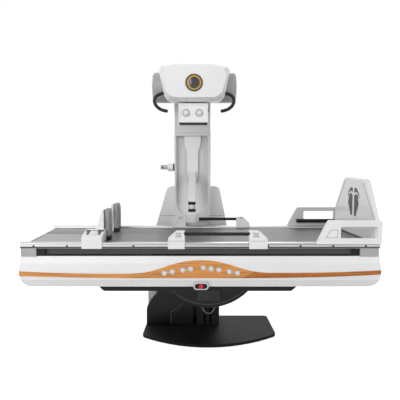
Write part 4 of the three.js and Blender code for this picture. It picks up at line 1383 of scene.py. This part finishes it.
class RADIOGRAPHY_OT_column(bpy.types.Operator):
    """Dresses the column, its base cover, the arm, the lever and the detector carriage."""
    bl_idname = "radiography.column"
    bl_label = "Column"

    def execute(self, context):
        carriage = copied("column_carriage", "column_carriage_dressed", "black_dull")
        eased(carriage, sizes().metal_edge)
        foot, front = CARRIAGE_PAINT
        painted(carriage, "pale_grey", lambda at, normal: at.z > foot and at.y > front)
        stands_for(carriage, "column_carriage")
        dressed("detector", "black_satin", sizes().metal_edge)
        dressed("base_cover", "white", 0.008, 4)
        dressed("tube_arm", "column", sizes().edge)
        self.post()
        self.lever()
        self.service_cover()
        front = box_of("base_cover")[0].y
        seam = slab("base_cover_seam", boxed(*BASE_SEAM, 0.001), "Y", front - 0.0006, front + 0.001,
                    "deep_grey")
        carried(seam, "column_base", "shell_grey")
        return {"FINISHED"}

    def post(self):
        """The post with its lighter recess, whose side walls are painted darker as shade, and the
        bottle-shaped panel in it, rimmed with a seam darkened as painted shade.
        """
        piece = eased(copied("column_post", "column_post_dressed", "column"), 0.0035)
        left, right, foot, head = RECESS
        painted(piece, "recess", lambda at, normal: -0.107 < at.y < -0.052
                and left < at.x < right and foot < at.z < head)
        # The recess's side walls are painted mid grey as the shade that falls on them.
        painted(piece, "mid_grey", lambda at, normal: abs(normal.x) > 0.6 and -0.107 < at.y < -0.058
                and (left - 0.002 < at.x < left + 0.004 or right - 0.004 < at.x < right + 0.002)
                and foot + 0.1 < at.z < head)
        low_x, high_x, low_z, high_z = BOTTLE
        painted(piece, "white", lambda at, normal: -0.0846 < at.y < -0.0605
                and low_x < at.x < high_x and low_z < at.z < high_z)
        stands_for(piece, "column_post")
        for name, grow, front, surface, edge in BOTTLE_LAYERS:
            half = [(reach + grow, rise, radius) for reach, rise, radius in BOTTLE_HALF]
            corners = [(BOTTLE_X + u, v, radius) for u, v, radius in half]
            corners += [(BOTTLE_X - u, v, radius) for u, v, radius in reversed(half)]
            panel = slab(name, rounded(*corners), "Y", front, BOTTLE_BACK, surface, edge, 2)
            carried(panel, NODE_BODY["column_post"], NODE_SLOT["column_post"])

    def service_cover(self):
        """The cover plate behind the arm, with a screw in each corner."""
        body, slot = NODE_BODY["tube_arm"], NODE_SLOT["tube_arm"]
        back = box_of("tube_arm")[1].y
        left, foot, right, head = SERVICE_COVER
        face = back + 0.003
        outline = boxed(left, foot, right, head, COVER_SCREW_INSET)
        plate = slab("arm_service_cover", outline, "Y", back - 0.001, face, "pale_grey", 0.001, 2)
        carried(plate, body, slot)
        columns = (left + COVER_SCREW_INSET, right - COVER_SCREW_INSET)
        rows = (foot + COVER_SCREW_INSET, head - COVER_SCREW_INSET)
        corners = [(x, face, z) for x in columns for z in rows]
        screws("service_cover_screws", corners, "back", body, slot, 0.004, 0.0016)

    def lever(self):
        """The side lever: a grey grip, a white sleeve and a black root."""
        low, high = box_of("lever")
        centre = ((low.y + high.y) / 2, (low.z + high.z) / 2)
        end, root = low.x, high.x
        profile = [(0, end), (0.0140, end), (0.0157, end + 0.0006), (0.0165, end + 0.0025)]
        profile += LEVER_STEP
        profile += [(0.0300, root - 0.0100), (0.0265, root - 0.0092), (0.0265, root), (0, root)]
        handle = turned("lever_handle", profile, "X", centre, "white", 72)
        painted(handle, "grey", lambda at, normal: at.x < LEVER_STEP[0][1] - 0.0002)
        painted(handle, "black_satin", lambda at, normal: at.x > root - 0.0098)
        stands_for(handle, "lever")
        place = (end + 0.014, centre[0] - 0.0160, centre[1])
        screws("lever_screw", [place], "front", "side_lever", "knob_white", 0.006)


HEAD_X = -0.096
TUBE_Z = 1.753 + RAISE
HANDLE_Y = -0.650
HANDLE_RADIUS = 0.0104
HOUSING_SCREWS = 0.74
HOUSING_CAP = ((0, -0.001), (0.52, -0.001), (0.52, 0.003), (0.49, 0.0045), (0, 0.0045))
DISPLAY_FACE = ((1, 0.003), (0.985, 0.0012), (0.95, 0), (0.83, 0), (0.81, 0.0014), (0.66, 0.0014),
                (0.64, 0.0010), (0, 0.0010))
DISPLAY_RING = (0.65, 0.82)
KNOB_FACE = ((1, 0.006), (0.94, 0.0025), (0.8, 0.0006), (0.6, 0), (0, 0.0004))
COVER_CORNERS = ((-0.178, -0.105, 0.058), (0.182, -0.105, 0.058), (0.220, 0.083, 0.010),
                 (0.206, 0.111, 0.012), (0.104, 0.127, 0.060), (-0.100, 0.127, 0.060),
                 (-0.204, 0.111, 0.012), (-0.218, 0.083, 0.010))
COVER_INSET = (0.020, 0.030, 0.024)
# (share of the inset, depth behind the front) of each ring of the cover.
COVER_ROLL = ((0.20, 0.112), (0.05, 0.110), (0.0, 0.104), (0.0, 0.050), (0.02, 0.043), (0.08, 0.036),
              (0.82, 0.0075), (0.93, 0.0025), (1.0, 0.0))
# Radius of the pale grey disc painted as the shade round each field knob.
KNOB_SHADE_DISC = 0.0270
# Inner radius, outer radius, start and end in degrees.
SCALE_ARCS = ((0.0185, 0.0200, 25, 155), (0.0250, 0.0262, 40, 140), (0.0185, 0.0200, 200, 225),
              (0.0185, 0.0200, 315, 340))
SIDE_KNOB_AT = (-0.600, 1.604 + RAISE)
SIDE_KNOB = ((0, -0.001), (0.012, -0.001), (0.012, 0.006), (0.0112, 0.0085), (0.009, 0.010), (0, 0.0104))
# (distance from the head's middle, height over the tube) along a handle.
HANDLE_RUN = ((0.156, -0.042), (0.196, -0.051), (0.236, -0.069), (0.248, -0.098), (0.238, -0.126),
              (0.215, -0.147), (0.190, -0.157), (0.170, -0.161))


class RADIOGRAPHY_OT_head(bpy.types.Operator):
    """Makes the tube housing, the head cover with its display, the handles and the collimator."""
    bl_idname = "radiography.head"
    bl_label = "Tube head"

    def execute(self, context):
        dressed("tube_housing", "mid_grey", 0.003)
        dressed("collimator", "warm_white", 0.003)
        self.housing_ends()
        self.cover()
        self.scales()
        self.display()
        for side, node in ((-1, "handle_left"), (1, "handle_right")):
            self.handle(side, node)
        for node in ("knob_left", "knob_right"):
            self.knob(node)
        return {"FINISHED"}

    def housing_ends(self):
        """A flat cap and a ring of screws on each end of the housing."""
        slot = NODE_SLOT["tube_housing"]
        low, high = box_of("tube_housing")
        centre = ((low.y + high.y) / 2, (low.z + high.z) / 2)
        radius = (high.z - low.z) / 2
        reach = radius * HOUSING_SCREWS
        for facing, end, turn in (("left", low.x, -1), ("right", high.x, 1)):
            profile = [(radius * share, end + turn * depth) for share, depth in HOUSING_CAP]
            carried(turned(f"housing_cap_{facing}", profile, "X", centre, "grey", 72), "head", slot)
            ring = []
            for step in range(6):
                angle = math.tau * step / 6
                ring.append((end, centre[0] + reach * math.cos(angle), centre[1] + reach * math.sin(angle)))
            screws(f"housing_screws_{facing}", ring, facing, "head", slot, 0.005, 0.002)

    def cover(self):
        """The head's front cover: its outline rolled in towards the front."""
        low, high = box_of("head_cover")
        rings = []
        for share, depth in COVER_ROLL:
            corners = []
            for x, z, radius in COVER_CORNERS:
                side = math.copysign(COVER_INSET[0] * share, x)
                rise = COVER_INSET[1] * share if z > 0 else -COVER_INSET[2] * share
                corners.append((HEAD_X + x - side, TUBE_Z + z - rise, radius * (1 + share * 0.15)))
            y = low.y + depth if depth < 0.06 else high.y - (0.112 - depth)
            rings.append([(u, y, v) for u, v in rounded(*corners, steps=10)])
        shell = skinned("head_cover_shell", rings, "warm_white")
        stands_for(smoothed(shell, math.radians(25)), "head_cover")

    def scales(self):
        """The scales behind the field knobs on pale grey discs painted as the shade round each knob, the
        exit plate, which also stands in for the shadow under the collimator, and the side knob of the
        collimator.
        """
        low, high = box_of("collimator")
        face = low.y + 0.005
        marks = []
        for node in ("knob_left", "knob_right"):
            centre = disc_of(node)[0]
            under, over = face + 0.001, face - 0.00015
            # A pale grey disc behind the knob, painted as the shade round it.
            disc = [(0, under), (KNOB_SHADE_DISC, under), (KNOB_SHADE_DISC, over), (0, over)]
            marks.append(turned("knob_shade_disc", disc, "Y", centre, "pale_grey", 64))
            for inner, outer, start, end in SCALE_ARCS:
                shape = arc_band(centre, inner, outer, start, end)
                marks.append(inlay("scale", shape, on_front(face), "soft_ink_and_shade"))
        carried(gathered("field_scales", *marks), "head", "head_white")
        # A black exit plate under the collimator, which also stands in for the shadow beneath it.
        outline = boxed(low.x + 0.004, low.y + 0.006, high.x - 0.004, high.y - 0.020, 0.006)
        plate = slab("collimator_exit_shade", outline, "Z", low.z - 0.009, low.z + 0.001, "black_dull", 0.001, 2)
        carried(plate, "head", "knob_white")
        profile = [(radius, high.x + rise) for radius, rise in SIDE_KNOB]
        carried(turned("side_knob", profile, "X", SIDE_KNOB_AT, "deep_grey", 48), "head", "knob_white")

    def display(self):
        """Round black glass with an amber ring let into it."""
        face = faced("display_face", "head_display", DISPLAY_FACE, "glass", FINE_SIDES)
        stands_for(ringed(face, "head_display", DISPLAY_RING, "amber"), "head_display")

    def handle(self, side, node):
        """A hook handle beside the head."""
        path = [Vector((HEAD_X + side * out, HANDLE_Y, TUBE_Z + drop)) for out, drop in HANDLE_RUN]
        stands_for(tube(node + "_bar", curve_through(path), HANDLE_RADIUS, "rubber"), node)

    def knob(self, node):
        """A round field knob with a wing across its face."""
        centre, radius, front, _ = disc_of(node)
        cap = faced(node + "_turned", node, KNOB_FACE, "white")
        reach, half, corner = radius * 0.86, 0.0035, 0.0034
        outline = boxed(centre[0] - reach, centre[1] - half, centre[0] + reach, centre[1] + half, corner)
        wing = slab(node + "_wing", outline, "Y", front - 0.0045, front + 0.002, "white", 0.001, 3)
        stands_for(gathered(node + "_cap", cap, wing), node)


# (radius, height over the foot).
CONE = ((0, 0), (0.038, 0), (0.0415, 0.0010), (0.0440, 0.0035), (0.0458, 0.0070), (0.0535, 0.0630),
        (0.0540, 0.0660), (0.0528, 0.0690), (0.0490, 0.0705), (0.0300, 0.0730), (0.0265, 0.0750),
        (0.0260, 0.0800), (0.0260, 0.0950), (0.0235, 0.0970), (0.0235, 0.1230), (0.0260, 0.1250))
CONE_TOP = 0.076
# Foot and top of the bright band painted round the black neck as its highlight.
CONE_NECK_GLINT = (0.096, 0.124)


class RADIOGRAPHY_OT_compressor(bpy.types.Operator):
    """Makes the compressor's arm and pressure cone."""
    bl_idname = "radiography.compressor"
    bl_label = "Compressor"

    def execute(self, context):
        dressed("compressor_arm", "white", sizes().edge)
        low, high = box_of("pressure_cone")
        centre = ((low.x + high.x) / 2, (low.y + high.y) / 2)
        foot = low.z
        profile = [(radius, foot + rise) for radius, rise in CONE]
        profile += [(CONE[-1][0], high.z), (0, high.z)]
        cone = turned("pressure_cone_shell", profile, "Z", centre, "white", FINE_SIDES)
        painted(cone, "black_gloss", lambda at, normal: at.z > foot + CONE_TOP)
        start, end = CONE_NECK_GLINT
        # The bright band stands in for the highlight on the glossy black neck.
        painted(cone, "neck_glint_steel", lambda at, normal: foot + start < at.z < foot + end)
        stands_for(cone, "pressure_cone")
        return {"FINISHED"}


class RADIOGRAPHY_PT_panel(bpy.types.Panel):
    """Lists the steps of the dressing."""
    bl_label = "Radiography table"
    bl_idname = "RADIOGRAPHY_PT_panel"
    bl_space_type = "VIEW_3D"
    bl_region_type = "UI"
    bl_category = "Radiography"

    def draw(self, context):
        for group in (context.scene.radiography_sizes, context.scene.radiography_colours):
            for name in group.bl_rna.properties.keys():
                if name not in ("rna_type", "name"):
                    self.layout.prop(group, name)
        for step in STEPS:
            self.layout.operator(step.bl_idname)


STEPS = (
    RADIOGRAPHY_OT_stage, RADIOGRAPHY_OT_stand, RADIOGRAPHY_OT_tilt, RADIOGRAPHY_OT_body,
    RADIOGRAPHY_OT_controls, RADIOGRAPHY_OT_top, RADIOGRAPHY_OT_shoulder_rests, RADIOGRAPHY_OT_hand_grips,
    RADIOGRAPHY_OT_footboard, RADIOGRAPHY_OT_column, RADIOGRAPHY_OT_head, RADIOGRAPHY_OT_compressor,
)
CLASSES = (TableSizes, TableColours, *STEPS, RADIOGRAPHY_PT_panel)


def register():
    for item in CLASSES:
        bpy.utils.register_class(item)
    bpy.types.Scene.radiography_sizes = bpy.props.PointerProperty(type=TableSizes)
    bpy.types.Scene.radiography_colours = bpy.props.PointerProperty(type=TableColours)


def unregister():
    del bpy.types.Scene.radiography_colours
    del bpy.types.Scene.radiography_sizes
    for item in reversed(CLASSES):
        bpy.utils.unregister_class(item)


def main():
    register()
    for step in STEPS:
        group, name = step.bl_idname.split(".")
        getattr(getattr(bpy.ops, group), name)()


if __name__ == "__main__":
    main()
